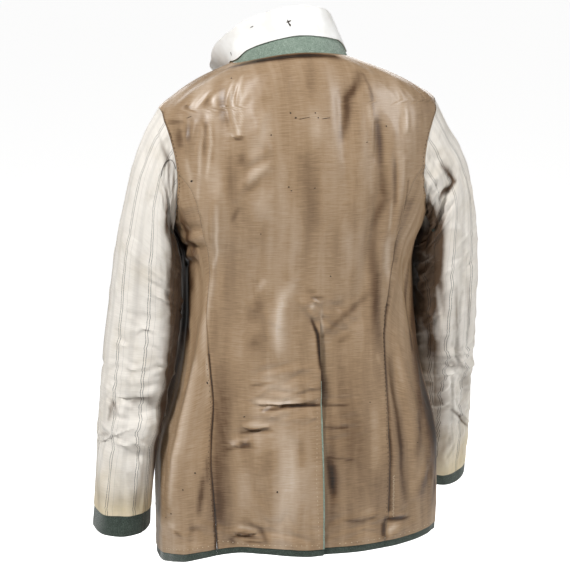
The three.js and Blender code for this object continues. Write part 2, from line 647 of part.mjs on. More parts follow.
const collarSheet = gridSheet(COLLAR_COLUMNS, COLLAR_ROWS, (i, j) =>
  collarSpot(lerp(COLLAR_START, COLLAR_END, i / COLLAR_COLUMNS), j / COLLAR_ROWS));
addPiece('collar', wallGeometry(collarSheet, COLLAR_WALL), 'collarWool');

const LINER_INSET = 1.5;       // degrees short of the collar's ends
const linerSheet = gridSheet(COLLAR_COLUMNS, COLLAR_ROWS, (i, j) => {
  const angle = clamp(lerp(COLLAR_START, COLLAR_END, i / COLLAR_COLUMNS),
    COLLAR_START + LINER_INSET, COLLAR_END - LINER_INSET);
  const top = 1 + LINER_RISE / collar.length(angle);
  const rise = lerp(collar.linerStart(angle), top, j / COLLAR_ROWS);
  return collarSpot(angle, rise, LINER_GAP + LINER_WALL);
});
addPiece('collar_liner', wallGeometry(linerSheet, LINER_WALL), 'cotton');

// ---- Buttons on the wool face of the left front -------------------------------------------------
const buttonProfile = [[0, 0], [0.3, 0], [0.35, 0.25], [0.96, 0.32], [1, 0.5], [0.62, 0.88], [0, 1]]
  .map(([across, high]) => new THREE.Vector2(across * BUTTON_RADIUS, high * BUTTON_HEIGHT));

BUTTON_LEVELS.forEach((level, index) => {
  const angle = frontEdge(level) - lengthToAngle(BUTTON_INSET, level);
  const { point, normal } = bodySpot(angle, level, -WALL - BUTTON_GAP);
  const geometry = new THREE.LatheGeometry(buttonProfile, BUTTON_SIDES);
  const button = addPiece(`button_${index + 1}`, geometry, 'button');
  button.position.copy(point);
  button.quaternion.setFromUnitVectors(new THREE.Vector3(0, 1, 0), normal.negate());
});

export default tunic;
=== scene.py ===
# %% [markdown]
# # A uniform tunic turned inside out
# This lesson dresses a imported model of a service tunic that has been turned inside out and filled
# out as if somebody wore it. What faces the viewer is the brown satin lining of the body and the
# striped cream lining of the sleeves. The green wool cloth shows only where it is turned over: at
# the hem, the cuffs, the edge of the vent and the foot of the collar. The imported model gives the
# place of every piece, so it is loaded first.

# %% Load the frame
import json
import math

import bpy
import numpy as np
from mathutils import Matrix, Vector

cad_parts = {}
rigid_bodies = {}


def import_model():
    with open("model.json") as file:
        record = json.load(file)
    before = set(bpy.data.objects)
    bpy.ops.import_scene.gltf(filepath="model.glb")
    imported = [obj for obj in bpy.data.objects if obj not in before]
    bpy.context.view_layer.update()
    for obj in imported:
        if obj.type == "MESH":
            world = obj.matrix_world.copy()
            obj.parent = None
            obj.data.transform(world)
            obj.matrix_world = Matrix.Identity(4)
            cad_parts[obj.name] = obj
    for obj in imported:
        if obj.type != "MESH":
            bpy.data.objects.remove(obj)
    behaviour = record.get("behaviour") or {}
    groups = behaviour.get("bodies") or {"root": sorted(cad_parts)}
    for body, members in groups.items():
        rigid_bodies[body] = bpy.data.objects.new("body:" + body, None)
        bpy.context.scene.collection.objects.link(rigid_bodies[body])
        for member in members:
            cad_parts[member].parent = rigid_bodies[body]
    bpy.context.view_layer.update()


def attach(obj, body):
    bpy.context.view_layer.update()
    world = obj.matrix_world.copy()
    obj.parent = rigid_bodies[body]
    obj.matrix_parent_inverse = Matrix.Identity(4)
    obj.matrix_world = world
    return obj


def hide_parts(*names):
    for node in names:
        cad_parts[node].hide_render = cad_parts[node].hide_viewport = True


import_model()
MM = 0.001

# %% [markdown]
# ## The camera
# A garment is best judged from a few metres away with a long lens, which keeps the shoulders and
# the hem in proportion. The camera stands behind the tunic, a little to its left and above it.

# %% Camera
CAMERA_AZIMUTH = math.radians(165)
CAMERA_ELEVATION = math.radians(12)
CAMERA_DISTANCE = 2.9
LOOK_AT = Vector((0, 0, -0.334))

camera_data = bpy.data.cameras.new("camera")
camera = bpy.data.objects.new("camera", camera_data)
bpy.context.scene.collection.objects.link(camera)
toward = Vector((
    math.sin(CAMERA_AZIMUTH) * math.cos(CAMERA_ELEVATION),
    -math.cos(CAMERA_AZIMUTH) * math.cos(CAMERA_ELEVATION),
    math.sin(CAMERA_ELEVATION)))
camera.location = LOOK_AT + toward * CAMERA_DISTANCE
camera.rotation_euler = (-toward).to_track_quat("-Z", "Y").to_euler()
camera_data.sensor_width = 36
camera_data.lens = 122.7
camera_data.shift_x = -0.0123
camera_data.clip_start = 0.1
camera_data.clip_end = 200
bpy.context.scene.camera = camera
print("camera at", [round(v, 3) for v in camera.location])

# %% [markdown]
# ## Floor and light
# A plain pale floor and a pale surround give satin something soft to reflect. Two large soft
# lights stand on either side of the back, the left one stronger, so that the folds of the lining
# read as light and dark streaks. Weaker ones on the far side light the fronts.

# %% Stage
def select_only(obj):
    bpy.ops.object.select_all(action="DESELECT")
    obj.select_set(True)
    bpy.context.view_layer.objects.active = obj


FLOOR_LEVEL = -1.45
FLOOR_GLOW = 0.8          # keeps the far floor pale behind the tunic
SURROUND = 0.18           # strength of the light from all round
bpy.ops.object.select_all(action="DESELECT")
bpy.ops.mesh.primitive_plane_add(size=80, location=(0, 0, FLOOR_LEVEL))
floor = bpy.context.object
floor.name = "floor"
floor_material = bpy.data.materials.new("pale_floor")
floor_material.use_nodes = True
floor_shader = floor_material.node_tree.nodes["Principled BSDF"]
floor_shader.inputs["Base Color"].default_value = (0.93, 0.93, 0.92, 1)
floor_shader.inputs["Roughness"].default_value = 0.9
floor_tree = floor_material.node_tree
camera_ray = floor_tree.nodes.new("ShaderNodeLightPath").outputs["Is Camera Ray"]
glow = floor_tree.nodes.new("ShaderNodeMath")
glow.operation = "MULTIPLY"
glow.inputs[1].default_value = FLOOR_GLOW
floor_tree.links.new(camera_ray, glow.inputs[0])
floor_tree.links.new(glow.outputs[0], floor_shader.inputs["Emission Strength"])
floor_shader.inputs["Emission Color"].default_value = (1, 1, 1, 1)
floor.data.materials.append(floor_material)

world = bpy.data.worlds.new("soft_surround")
world.use_nodes = True
sky = world.node_tree
sky.nodes["Background"].inputs["Color"].default_value = (1, 1, 1, 1)
seen = sky.nodes.new("ShaderNodeLightPath").outputs["Is Camera Ray"]
strength = sky.nodes.new("ShaderNodeMapRange")
strength.inputs["To Min"].default_value = SURROUND
strength.inputs["To Max"].default_value = 0.95
sky.links.new(seen, strength.inputs["Value"])
sky.links.new(strength.outputs["Result"], sky.nodes["Background"].inputs["Strength"])
bpy.context.scene.world = world
bpy.context.scene.view_settings.view_transform = "Standard"


def soft_light(name, place, size, power):
    data = bpy.data.lights.new(name, "AREA")
    data.shape = "DISK"
    data.size = size
    data.energy = power
    light = bpy.data.objects.new(name, data)
    bpy.context.scene.collection.objects.link(light)
    light.location = place
    light.rotation_euler = (LOOK_AT - Vector(place)).to_track_quat("-Z", "Y").to_euler()
    return light


soft_light("left_softbox", (2.1, 1.7, 2.3), 0.7, 142)
soft_light("right_softbox", (-2.8, 1.5, 0.9), 1.2, 60)
soft_light("front_left_softbox", (0.9, -3.2, 0.7), 1.4, 24)
soft_light("front_right_softbox", (-1.5, -2.8, 0.5), 1.6, 20)
print("stage and lights made")

# %% [markdown]
# ## The form of the body
# A worn tunic is a tube whose cross-section changes slowly from the hem to the neck. Each row of
# the table is one such section, in millimetres above the hem: the height of its back, side and
# front points, its half widths and depths, and how square it is. Smooth curves through the columns
# give every point between the rows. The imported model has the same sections, so the cloth made here
# lies exactly on its solids.

# %% Sections of the body
HELD_HEIGHT = 713.0
NECK_LEVEL = 713.0
TIP_LEVEL = 650.0
UNDERARM_LEVEL = 478.0
HEM_BAND = 11.0
SEAM_GAP = 0.3
WALL = 2.4

SECTION_COLUMNS = ("level", "back_z", "left_z", "right_z", "front_z", "left", "right", "back",
                   "front", "square")
SECTIONS = np.array([
    (0, 0, 0, 0, 0, 209, 223, 139, 128, 2.35),
    (60, 60, 60, 60, 60, 209, 224, 139, 128, 2.35),
    (130, 130, 130, 130, 130, 208, 223, 137, 127, 2.35),
    (180, 180, 180, 180, 180, 199, 215, 132, 124, 2.35),
    (240, 240, 240, 240, 240, 183, 199, 126, 119, 2.35),
    (300, 300, 300, 300, 300, 172, 188, 121, 115, 2.35),
    (360, 360, 360, 360, 360, 166, 181, 118, 113, 2.35),
    (410, 410, 410, 410, 410, 165, 179, 119, 115, 2.35),
    (445, 445, 445, 445, 445, 170, 185, 121, 118, 2.35),
    (478, 479, 478, 478, 477, 183, 198, 124, 121, 2.4),
    (520, 522, 520, 520, 516, 194, 208, 126, 123, 2.4),
    (564, 568, 564, 564, 553, 200, 214, 125, 121, 2.3),
    (610, 620, 610, 613, 586, 206, 222, 119, 115, 2.18),
    (632, 643, 631, 635, 599, 205, 223, 114, 110.5, 2.08),
    (650, 664, 650, 655, 609, 198, 216, 108, 106, 2.04),
    (668, 684, 668, 669, 620, 176, 195, 101, 101, 2.25),
    (684, 702, 684, 683, 630, 152, 169, 93, 95, 2.42),
    (698, 717, 698, 700, 639, 125, 131, 84, 88, 2.45),
    (713, 731, 713, 720, 650, 89, 81, 72, 77, 2.1),
])
# Rise and fall of the hem, by angle from the centre back towards the left.
HEM_SWAY = np.array([
    (-180, 0), (-150, -8), (-120, -16), (-90, -20), (-60, 0), (-30, 0), (0, 0),
    (30, 11), (60, -14), (90, -28), (120, -22), (150, -10), (180, 0)])
HEM_SWAY_REACH = 200.0


def smooth_curve(x, y):
    """A smooth curve through the points (x, y), with no overshoot between them."""
    x, y = np.asarray(x, float), np.asarray(y, float)
    width = np.diff(x)
    rise = np.diff(y) / width
    slope = np.zeros_like(y)
    slope[0], slope[-1] = rise[0], rise[-1]
    product, total = rise[:-1] * rise[1:], rise[:-1] + rise[1:]
    same_way = product > 0
    slope[1:-1][same_way] = 2 * product[same_way] / total[same_way]

    def at(value):
        i = np.clip(np.searchsorted(x, value, side="left") - 1, 0, len(width) - 1)
        t = np.clip((value - x[i]) / width[i], 0, 1)
        return ((2 * t ** 3 - 3 * t ** 2 + 1) * y[i] + (t ** 3 - 2 * t ** 2 + t) * width[i] * slope[i]
                + (3 * t ** 2 - 2 * t ** 3) * y[i + 1] + (t ** 3 - t ** 2) * width[i] * slope[i + 1])
    return at


def smoothstep(value, low, high):
    t = np.clip((value - low) / (high - low), 0, 1)
    return t * t * (3 - 2 * t)


section = {name: smooth_curve(SECTIONS[:, 0], SECTIONS[:, i])
           for i, name in enumerate(SECTION_COLUMNS) if i}
hem_rise = smooth_curve(HEM_SWAY[:, 0], HEM_SWAY[:, 1])
print("sections", len(SECTIONS))

# %% [markdown]
# ## Large folds
# Lining hangs in long soft folds. Each row is a line on the cloth, from one angle and level to
# another, with the fold's half width and its height (below zero it is a trough). They are the
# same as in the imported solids.

# %% Folds of the body
BODY_FOLDS = [
    (-15, 690, -11, 590, 14, -4), (-26, 640, -25.5, 510, 14, -4.5), (-28.5, 530, -23.6, 350, 15, -5),
    (-33, 560, -30, 330, 13, 3.5), (-37, 356, -39.5, 174, 15, -5), (-39.5, 174, -42, 40, 17, -6),
    (-34, 330, -35, 60, 14, 4), (-52, 470, -66, 300, 16, -5), (38, 560, 45, 460, 13, 3.5),
    (55, 400, 57, 300, 14, 3.5), (58, 334, 64, 150, 18, 5), (64, 160, 67, 50, 18, 5),
    (51, 250, 49, 30, 14, -4.5), (25, 232, -1, 227, 9, -5), (37, 187, 20, 195, 9, -3.5),
    (30, 30, 12, 52, 12, -4), (7, 382, -1.5, 368, 11, 4), (-3, 346, -20, 380, 12, -3),
    (12, 400, 25, 296, 20, 4), (20, 690, 24, 560, 14, 3.5), (88, 430, 84, 190, 18, -4),
    (-92, 430, -86, 150, 18, -4), (112, 430, 106, 130, 20, 4), (-112, 430, -108, 130, 20, 4),
    (140, 520, 150, 120, 20, 4.5), (-140, 520, -152, 140, 20, 4.5), (-128, 330, -132, 40, 16, -4.5),
    (128, 300, 134, 40, 16, -4.5), (160, 250, 135, 235, 12, -4), (-160, 240, -138, 228, 12, -4),
]
BODY_RADIUS = 160.0       # turns an angle round the body into a length
FOLDS_FADE = (690, 710)   # levels between which the folds die out under the collar


def fold_height(x, y, folds, radius):
    """Height of the long folds at x, y (both lengths on the cloth)."""
    height = np.zeros(np.broadcast(x, y).shape)
    for from_turn, from_y, to_turn, to_y, width, depth in folds:
        x1, x2 = math.radians(from_turn) * radius, math.radians(to_turn) * radius
        dx, dy = x2 - x1, to_y - from_y
        along = np.clip(((x - x1) * dx + (y - from_y) * dy) / (dx * dx + dy * dy), 0, 1)
        away = np.hypot(x - x1 - along * dx, y - from_y - along * dy) / width
        height += depth * (0.35 + 0.65 * np.sin(np.pi * along)) * np.exp(-away * away)
    return height


def body_point(angle, level):
    """Points of the lining's face (..., 3), in mm above the hem, from angles and levels."""
    angle, level = np.broadcast_arrays(np.asarray(angle, float), np.asarray(level, float))
    turn = np.radians(angle)
    sin, cos = np.sin(turn), np.cos(turn)
    power = section["square"](level)
    around = (np.abs(sin) ** power + np.abs(cos) ** power) ** (-1 / power)
    half = np.where(sin > 0, section["left"](level), section["right"](level))
    depth = np.where(cos > 0, section["back"](level), section["front"](level))
    side_z = np.where(sin > 0, section["left_z"](level), section["right_z"](level))
    end_z = np.where(cos > 0, section["back_z"](level), section["front_z"](level))
    fold = fold_height(turn * BODY_RADIUS, level, BODY_FOLDS, BODY_RADIUS)
    fold = fold * (1 - smoothstep(level, *FOLDS_FADE))
    hem_fade = np.maximum(0, 1 - level / HEM_SWAY_REACH) ** 2
    return np.stack([
        (half * around + fold) * sin,
        (depth * around + fold) * cos,
        side_z + (end_z - side_z) * cos * cos + hem_rise(angle) * hem_fade], axis=-1)


def unit(vectors):
    return vectors / np.linalg.norm(vectors, axis=-1, keepdims=True)


def body_normal(angle, level):
    across = body_point(angle + 0.5, level) - body_point(angle - 0.5, level)
    up = body_point(angle, np.minimum(level + 2, NECK_LEVEL)) - body_point(
        angle, np.maximum(level - 2, 0))
    return unit(np.cross(up, across))


print("chest at underarm level, mm:", round(float(section["left"](478) + section["right"](478))))

# %% [markdown]
# ## Creases
# Smaller creases are drawn one by one, each as a half width, a height and a line of spots (angle,
# level). A soft crease has a bell-shaped section. A row that starts with "tuck" is cloth that
# hangs over itself: it swells above its line and drops sharply at it, which gives the thin dark
# shadows of worn satin.

# %% Creases of the back and the sides
BODY_CREASES = [
    # half width and height in mm, then the angle and the level of each spot
    # Streaks and flutes between the left shoulder and the neck.
    (3.5, 1.7, 41, 684, 36, 650, 32, 614), (3.5, 1.7, 36, 683, 32, 650, 29, 616),
    (3, -1.3, 37, 679, 30, 618), ("tuck", 3, 2.2, 35, 607, 31, 611, 28, 611), (6, 1.8, 48, 669, 40, 644),
    (4, 1.8, 56, 636, 55, 612, 53, 588), (3.5, 1.4, 51, 636, 51, 601),
    (3.2, 1.9, 46, 635, 50, 580, 51, 527), (3.5, 1.6, 44, 641, 42, 610, 43, 580),
    (4, -1.4, 49, 630, 51, 560), (4, 2, 38, 550, 47, 480, 52, 417, 55, 335),
    (5, -1.5, 42, 540, 49, 470, 49, 400), (5.5, 2.5, 17, 648, 21, 630, 22, 612, 19, 594, 27, 579),
    (5, 2.7, 17, 578, 22, 566, 29, 550, 34, 524), (4, -2, 20, 586, 29, 566), (10, 1.6, 21, 546, 22, 502),
    # Right of the middle, down from the neck.
    (8, -2.8, -26, 687, -18, 665, -13, 652, -12, 617, -13, 560, -14, 519), (5, 1.6, -24, 652, -24, 581),
    (2.2, -1.2, -25, 627, -25.5, 572),
    (7.5, -3.2, -27, 626, -29, 590, -29, 560, -26, 493, -27, 447, -30, 358),
    (6, -2.3, -34, 591, -35, 491, -38, 396), (6, 2.1, -39, 578, -37, 513, -38, 419),
    (5, 1.7, -41, 648, -39, 603), (8, -0.9, 4, 585, 4, 522), (8, -0.9, 0, 585, -1, 476),
    # Short level creases.
    ("tuck", 3, 1.2, 38, 691, 28, 690, 19, 688), ("tuck", 2.5, 1.2, 64, 689, 54, 691, 45, 690),
    ("tuck", 2, 1.4, 64, 652, 55, 653), ("tuck", 1.8, 1, -21, 580, -26, 580),
    ("tuck", 2, 1.1, 11, 414, 4, 413),
    # Gathers under the left arm.
    (4, -2.5, 52, 506, 59, 491), (4, 2.6, 60, 493, 53, 489), (4.5, -3.6, 67, 474, 61, 480, 55, 478),
    (4.5, 3.6, 70, 462, 62, 468, 55, 471), (4.5, -3.6, 79, 447, 70, 455, 60, 456),
    (4.5, 3.2, 79, 434, 70, 442, 61, 444), (5, -3.2, 87, 420, 75, 428, 63, 431), (4, 2.2, 74, 470, 72, 440),
    (3.5, -2.2, 66, 486, 70, 460), (4, -1.5, 51, 507, 53, 469),
    # The left side panel and the seam beside it.
    (8.5, 2.6, 59, 362, 61, 295, 63, 213, 63, 147, 65, 67), (4, 1.5, 54, 380, 53, 271),
    (9, -2.2, 73, 330, 76, 200, 74, 90), (6, -1.6, 55, 210, 56, 90),
    ("tuck", 4, 1.9, 69, 33, 62, 36, 56, 33), ("tuck", 5, 1.4, 72, 62, 64, 66),
    # Left of the vent.
    (13, 1.8, 18, 384, 18, 289), ("tuck", 4, 1.6, 32, 254, 26, 261, 21, 263),
    ("tuck", 5, 1.2, 24, 269, 15, 275, 7, 277), ("tuck", 4, 1.1, 27, 286, 19, 292),
    ("tuck", 4, 2, 8, 247, 3, 251, -2, 253), ("tuck", 5, 4.6, 29, 236, 23, 230, 12, 231, -2, 233),
    ("tuck", 5.5, 4.2, 32, 199, 27, 195, 19, 199), ("tuck", 5, 2.9, 37, 171, 32, 172, 26, 177),
    ("tuck", 4, 1.6, 34, 214, 28, 218), (8, 2, 23, 217, 7, 219), ("tuck", 3, 2, 6, 212, 2, 208, -2, 207),
    (6, -1.8, 8, 177, 5, 150), (10, 1.6, 23, 180, 20, 135, 19, 90), (9, -1.3, 13, 179, 11, 58),
    (9, 1.2, 7, 134, 7, 43), (4, -1.4, 16, 40, 11, 75), ("tuck", 4.5, 4.4, 34, 36, 29, 31, 24, 34),
    (3, -1.8, 36, 26, 37, 12), ("tuck", 4, 1.6, 28, 24, 20, 22),
    # The pinch at the top of the vent, and the soft fold that runs from it.
    ("tuck", 3.5, 2.8, 3, 381, -1, 376, -3, 371), (3.5, 3, 3, 366, 0, 359, -3, 354),
    (3, -2.2, 4, 374, 1, 368), (3.5, -2.2, -4, 376, -5, 358, -5, 344), (8, -2, -6, 310, -14, 330, -25, 352),
    # Right of the vent.
    ("tuck", 3, 1.8, -5, 226, -10, 224, -15, 223), ("tuck", 3, 2, -4, 196, -8, 193, -14, 196),
    ("tuck", 3, 1.5, -7, 150, -11, 146, -16, 141), (5.5, -4.2, -5, 168, -6, 122, -8, 80),
    (6, 1.6, -9, 165, -10, 110), ("tuck", 6, 2.2, -9, 47, -18, 50, -28, 54),
    ("tuck", 4, 3.8, -28, 48, -33, 43, -40, 42), (5, 2.4, -31, 24, -38, 33),
    (9, 1.2, -19, 300, -21, 180, -22, 70),
    # The right side panel.
    (9, -3.4, -36, 330, -41, 290, -38, 147, -41, 31), (8, 2.2, -48, 320, -46, 185, -43, 63),
    (9, -3.2, -50, 195, -53, 108), (7, 2.2, -54, 126, -45, 62), (9, -2.6, -57, 430, -60, 370, -64, 310),
    # Like ones round the front, where nobody stands behind the tunic to see them.
    (9, 2, -76, 440, -72, 380, -75, 300), (9, 2.2, -98, 300, -95, 180, -98, 70),
    (9, 2.2, 97, 290, 94, 170, 97, 70), (7, -2.2, -120, 560, -116, 500, -118, 420),
    (7, -2.2, 118, 570, 114, 500, 117, 430), (7, 2, -134, 640, -128, 560, -130, 470),
    (7, 2, 136, 640, 130, 570, 131, 480), (9, -2.2, -150, 420, -146, 300, -149, 190),
    (9, -2.2, 152, 430, 147, 310, 150, 200), ("tuck", 4, 2.8, -166, 250, -158, 246, -148, 251),
    ("tuck", 4, 2.8, 165, 262, 156, 257, 147, 261), ("tuck", 3.5, 2, -163, 205, -155, 201),
    ("tuck", 3.5, 2, 163, 214, 154, 210), ("tuck", 4.5, 3.4, -140, 36, -133, 32, -127, 35),
    ("tuck", 4.5, 3.4, 137, 30, 130, 27, 124, 31), ("tuck", 5, 1.8, -116, 60, -108, 64),
    ("tuck", 5, 1.8, 112, 52, 104, 56), (4.5, -2.6, -88, 474, -84, 455, -86, 430),
    (4.5, -2.4, -78, 486, -74, 462, -77, 440), (4.5, 2.2, -96, 476, -97, 450),
    (4.5, -2.6, 94, 470, 92, 445, 95, 420), (4.5, -2.2, 104, 486, 101, 460),
]


TUCK_SHARPNESS = 12.0     # how suddenly a tuck drops at its line
TUCK_HOLLOW = 0.35        # depth of the hollow under it, as a share of its height


def read_row(row, radius):
    """A drawn row's half width, its amount, and its path as lengths round and along the cloth."""
    width, amount, *spots = row
    turn, along = np.array(spots, float).reshape(-1, 2).T
    return width, amount, np.radians(turn) * radius, along


def nearest_on_path(px, py, x, y):
    """From x, y to the nearest spot of a path: the distance, the share of the path, and the side."""
    lengths = np.concatenate([[0], np.cumsum(np.hypot(np.diff(px), np.diff(py)))])
    best, share, side = np.full(x.shape, 1e9), np.zeros(x.shape), np.ones(x.shape)
    for i in range(len(px) - 1):
        dx, dy = px[i + 1] - px[i], py[i + 1] - py[i]
        t = np.clip(((x - px[i]) * dx + (y - py[i]) * dy) / (dx * dx + dy * dy), 0, 1)
        off_x, off_y = x - px[i] - t * dx, y - py[i] - t * dy
        gap = np.hypot(off_x, off_y)
        closer = gap < best
        above = np.sign(dx) * (off_y * dx - off_x * dy) >= 0
        best = np.where(closer, gap, best)
        share = np.where(closer, (lengths[i] + t * (lengths[i + 1] - lengths[i])) / lengths[-1], share)
        side = np.where(closer, np.where(above, 1, -1), side)
    return best, share, side


def crease_height(x, y, rows, radius, up=1):
    """Height of the drawn creases at x, y (lengths on the cloth). up is -1 where rows count down."""
    height = np.zeros(x.shape)
    for row in rows:
        tuck = row[0] == "tuck"
        width, depth, px, py = read_row(row[1:] if tuck else row, radius)
        py = up * py
        if len(px) > 2:
            step = np.linspace(0, len(px) - 1, 4 * (len(px) - 1) + 1)
            px, py = (smooth_curve(range(len(line)), line)(step) for line in (px, py))
        reach = 3 * width
        near = ((x > px.min() - reach) & (x < px.max() + reach)
                & (y > py.min() - reach) & (y < py.max() + reach))
        if not near.any():
            continue
        best, share, side = nearest_on_path(px, py, x[near], y[near])
        ends = np.sqrt(np.maximum(np.sin(np.pi * share), 0))
        t = best * side / width
        profile = np.exp(-t * t)
        if tuck:
            over = 1 / (1 + np.exp(-TUCK_SHARPNESS * t))
            profile = profile * over - TUCK_HOLLOW * np.exp(-2.6 * t * t) * (1 - over)
        height[near] += depth * ends * profile
    return height


def slack(x, y, seed):
    """The faint waves of a cloth that isn't quite tight, longer up and down than across."""
    draw = np.random.default_rng(seed)
    height = np.zeros(x.shape)
    for _ in range(16):
        across, down = draw.uniform(28, 90), draw.uniform(120, 420)
        tilt, phase = draw.uniform(-0.25, 0.25), draw.uniform(0, 2 * np.pi)
        height += 0.16 * np.sin(2 * np.pi * ((x + tilt * y) / across + y / down) + phase)
    return height

# %% [markdown]
# Between the drawn creases worn cloth is full of short shallow puckers. They are too many to draw,
# so a table says where they are, how they lean and how deep they are, and a seeded draw scatters
# them in each patch. The same seed gives the same cloth each time.

# %% Puckers
PUCKER_PATCHES = [
    # angle, level, half width and half height in mm, how many, lean in degrees, depth in mm
    (15, 240, 42, 46, 70, -6, 2.0), (16, 110, 40, 75, 34, 84, 1.3), (30, 30, 70, 18, 34, 8, 2.0),
    (-20, 35, 45, 20, 24, -8, 1.8), (70, 500, 30, 55, 46, 35, 2.2), (45, 610, 45, 60, 26, 84, 1.3),
    (-11, 205, 16, 34, 20, 0, 1.5), (-60, 530, 22, 45, 24, -50, 1.8), (0, 560, 80, 120, 34, 88, 0.8),
    (72, 220, 40, 130, 26, 84, 1.4), (-52, 200, 40, 140, 34, 84, 1.6), (10, 360, 60, 60, 26, 60, 1.0),
    (-8, 350, 22, 26, 14, 30, 1.5), (40, 690, 60, 14, 12, 4, 1.1), (-45, 640, 45, 40, 14, 84, 0.9),
    (100, 500, 40, 60, 34, -35, 1.2), (-100, 500, 40, 60, 34, 35, 1.2), (130, 300, 70, 200, 60, 84, 0.8),
    (-130, 300, 70, 200, 60, 84, 0.8), (150, 40, 60, 22, 26, 6, 1.0), (-150, 40, 60, 22, 26, -6, 1.0),
    (95, 30, 70, 18, 26, 6, 0.9), (-95, 30, 70, 18, 26, -6, 0.9), (145, 600, 45, 50, 20, 84, 0.7),
    (-145, 600, 45, 50, 20, 84, 0.7),
]


PUCKER_LENGTH = (8, 26)
PUCKER_WIDTH = (2.6, 5.0)
PUCKER_LEAN = 16          # how far single puckers stray from their patch's lean, in degrees
PUCKER_BOW = 0.012
PUCKER_REACH = 60         # further off than this a pucker is too faint to count


def pucker_height(x, y, patches, radius, seed):
    """Height of the scattered puckers at x, y (lengths on the cloth)."""
    draw = np.random.default_rng(seed)
    height = np.zeros(x.shape)
    for angle, level, half_x, half_y, count, lean, depth in patches:
        for _ in range(count):
            centre_x = math.radians(angle) * radius + draw.uniform(-half_x, half_x)
            centre_y = level + draw.uniform(-half_y, half_y)
            turn = math.radians(lean + draw.normal(0, PUCKER_LEAN))
            length, width = draw.uniform(*PUCKER_LENGTH), draw.uniform(*PUCKER_WIDTH)
            amount, bow = depth * draw.uniform(-1, 1), draw.uniform(-PUCKER_BOW, PUCKER_BOW)
            near = (np.abs(x - centre_x) < PUCKER_REACH) & (np.abs(y - centre_y) < PUCKER_REACH)
            if not near.any():
                continue
            dx, dy = x[near] - centre_x, y[near] - centre_y
            along = dx * math.cos(turn) + dy * math.sin(turn)
            away = dy * math.cos(turn) - dx * math.sin(turn) + bow * along * along
            height[near] += amount * np.exp(-(along / length) ** 2 - (away / width) ** 2)
    return height


# %% Dressed surface
def body_surface(angle, level, out=0.0):
    """The dressed surface of the body: the sections, the creases and the slack."""
    x = np.radians(angle) * BODY_RADIUS
    fine = crease_height(x, level, BODY_CREASES, BODY_RADIUS) + slack(x, level, 5)
    fine = fine + pucker_height(x, level, PUCKER_PATCHES, BODY_RADIUS, 21)
    fine = fine * (1 - smoothstep(level, 695, 711))
    normal = body_normal(angle, level)
    return body_point(angle, level) + normal * (fine + out)[..., None], normal


print("creases on the body:", len(BODY_CREASES))

# %% [markdown]
# ## From rows of points to a piece of cloth
# Every panel is a flat grid whose points are then moved onto the surface, as a tailor lays flat
# cloth on a form. The grid is given its wall with a Solidify modifier that puts the wool on the
# inside and on the cut edges. Two UV maps are kept in metres: "cloth" runs along the threads and
# carries the weave and stripes, and "place" says where on the garment a spot is.

# %% Cloth pieces
def height_above_neck(points):
    """Points in mm above the hem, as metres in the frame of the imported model."""
    return (points - np.array([0, 0, HELD_HEIGHT])) * MM


def thread_lengths(points, middle):
    """Lengths along the rows and columns of a grid of points (columns, rows, 3), in metres."""
    across = np.linalg.norm(np.diff(points, axis=0), axis=-1)
    u = np.concatenate([np.zeros((1, points.shape[1])), np.cumsum(across, axis=0)])
    up = np.linalg.norm(np.diff(points[middle], axis=0), axis=-1)
    v = np.concatenate([[0], np.cumsum(up)])
    return (u - u[middle]) * MM, np.broadcast_to(v * MM, u.shape)


def grid_cloth(name, points, outward, place, middle=None):
    """A grid with its points on the surface. points: (columns, rows, 3) in mm above the hem."""
    columns, rows = points.shape[:2]
    bpy.ops.object.select_all(action="DESELECT")
    bpy.ops.mesh.primitive_grid_add(
        x_subdivisions=columns - 1, y_subdivisions=rows - 1, size=1, calc_uvs=False)
    piece = bpy.context.object
    piece.name = piece.data.name = name
    mesh = piece.data
    by_row = height_above_neck(points).transpose(1, 0, 2).reshape(-1, 3)
    mesh.vertices.foreach_set("co", by_row.ravel())
    corner_spots = np.empty(len(mesh.loops), int)
    mesh.loops.foreach_get("vertex_index", corner_spots)
    u, v = thread_lengths(points, columns // 2 if middle is None else middle)
    for layer_name, (first, second) in (("cloth", (u, v)), ("place", place)):
        layer = mesh.uv_layers.new(name=layer_name)
        spots = np.stack([np.broadcast_to(first, u.shape).T.ravel(),
                          np.broadcast_to(second, u.shape).T.ravel()], axis=-1)
        layer.data.foreach_set("uv", spots[corner_spots].ravel())
    mesh.update()
    column, row = (columns - 1) // 2, (rows - 1) // 2
    middle_face = mesh.polygons[row * (columns - 1) + column]
    facing = outward[column, row]
    if Vector(facing).dot(middle_face.normal) < 0:
        mesh.flip_normals()
    return piece


def keep_mark(piece, name, values):
    """Stores one number for each point of a grid piece, for its material to read."""
    mark = piece.data.attributes.new(name, "FLOAT", "POINT")
    mark.data.foreach_set("value", np.ascontiguousarray(values.T, dtype=np.float32).ravel())


def join_cloth(name, pieces, weld=0.00002):
    select_only(pieces[0])
    for piece in pieces[1:]:
        piece.select_set(True)
    bpy.ops.object.join()
    joined = bpy.context.object
    joined.name = joined.data.name = name
    bpy.ops.object.mode_set(mode="EDIT")
    bpy.ops.mesh.select_all(action="SELECT")
    bpy.ops.mesh.remove_doubles(threshold=weld)
    bpy.ops.object.mode_set(mode="OBJECT")
    return joined


def give_wall(piece, thickness, face_material, back_material):
    """Thickens a sheet inwards, with the second material on its inner face and its cut edges."""
    piece.data.materials.append(face_material)
    piece.data.materials.append(back_material)
    select_only(piece)
    wall = piece.modifiers.new("wall", "SOLIDIFY")
    wall.thickness = thickness * MM
    wall.offset = -1
    wall.material_offset = wall.material_offset_rim = 1
    bpy.ops.object.modifier_apply(modifier="wall")
    bpy.ops.object.shade_smooth_by_angle(angle=math.radians(50))
    return piece


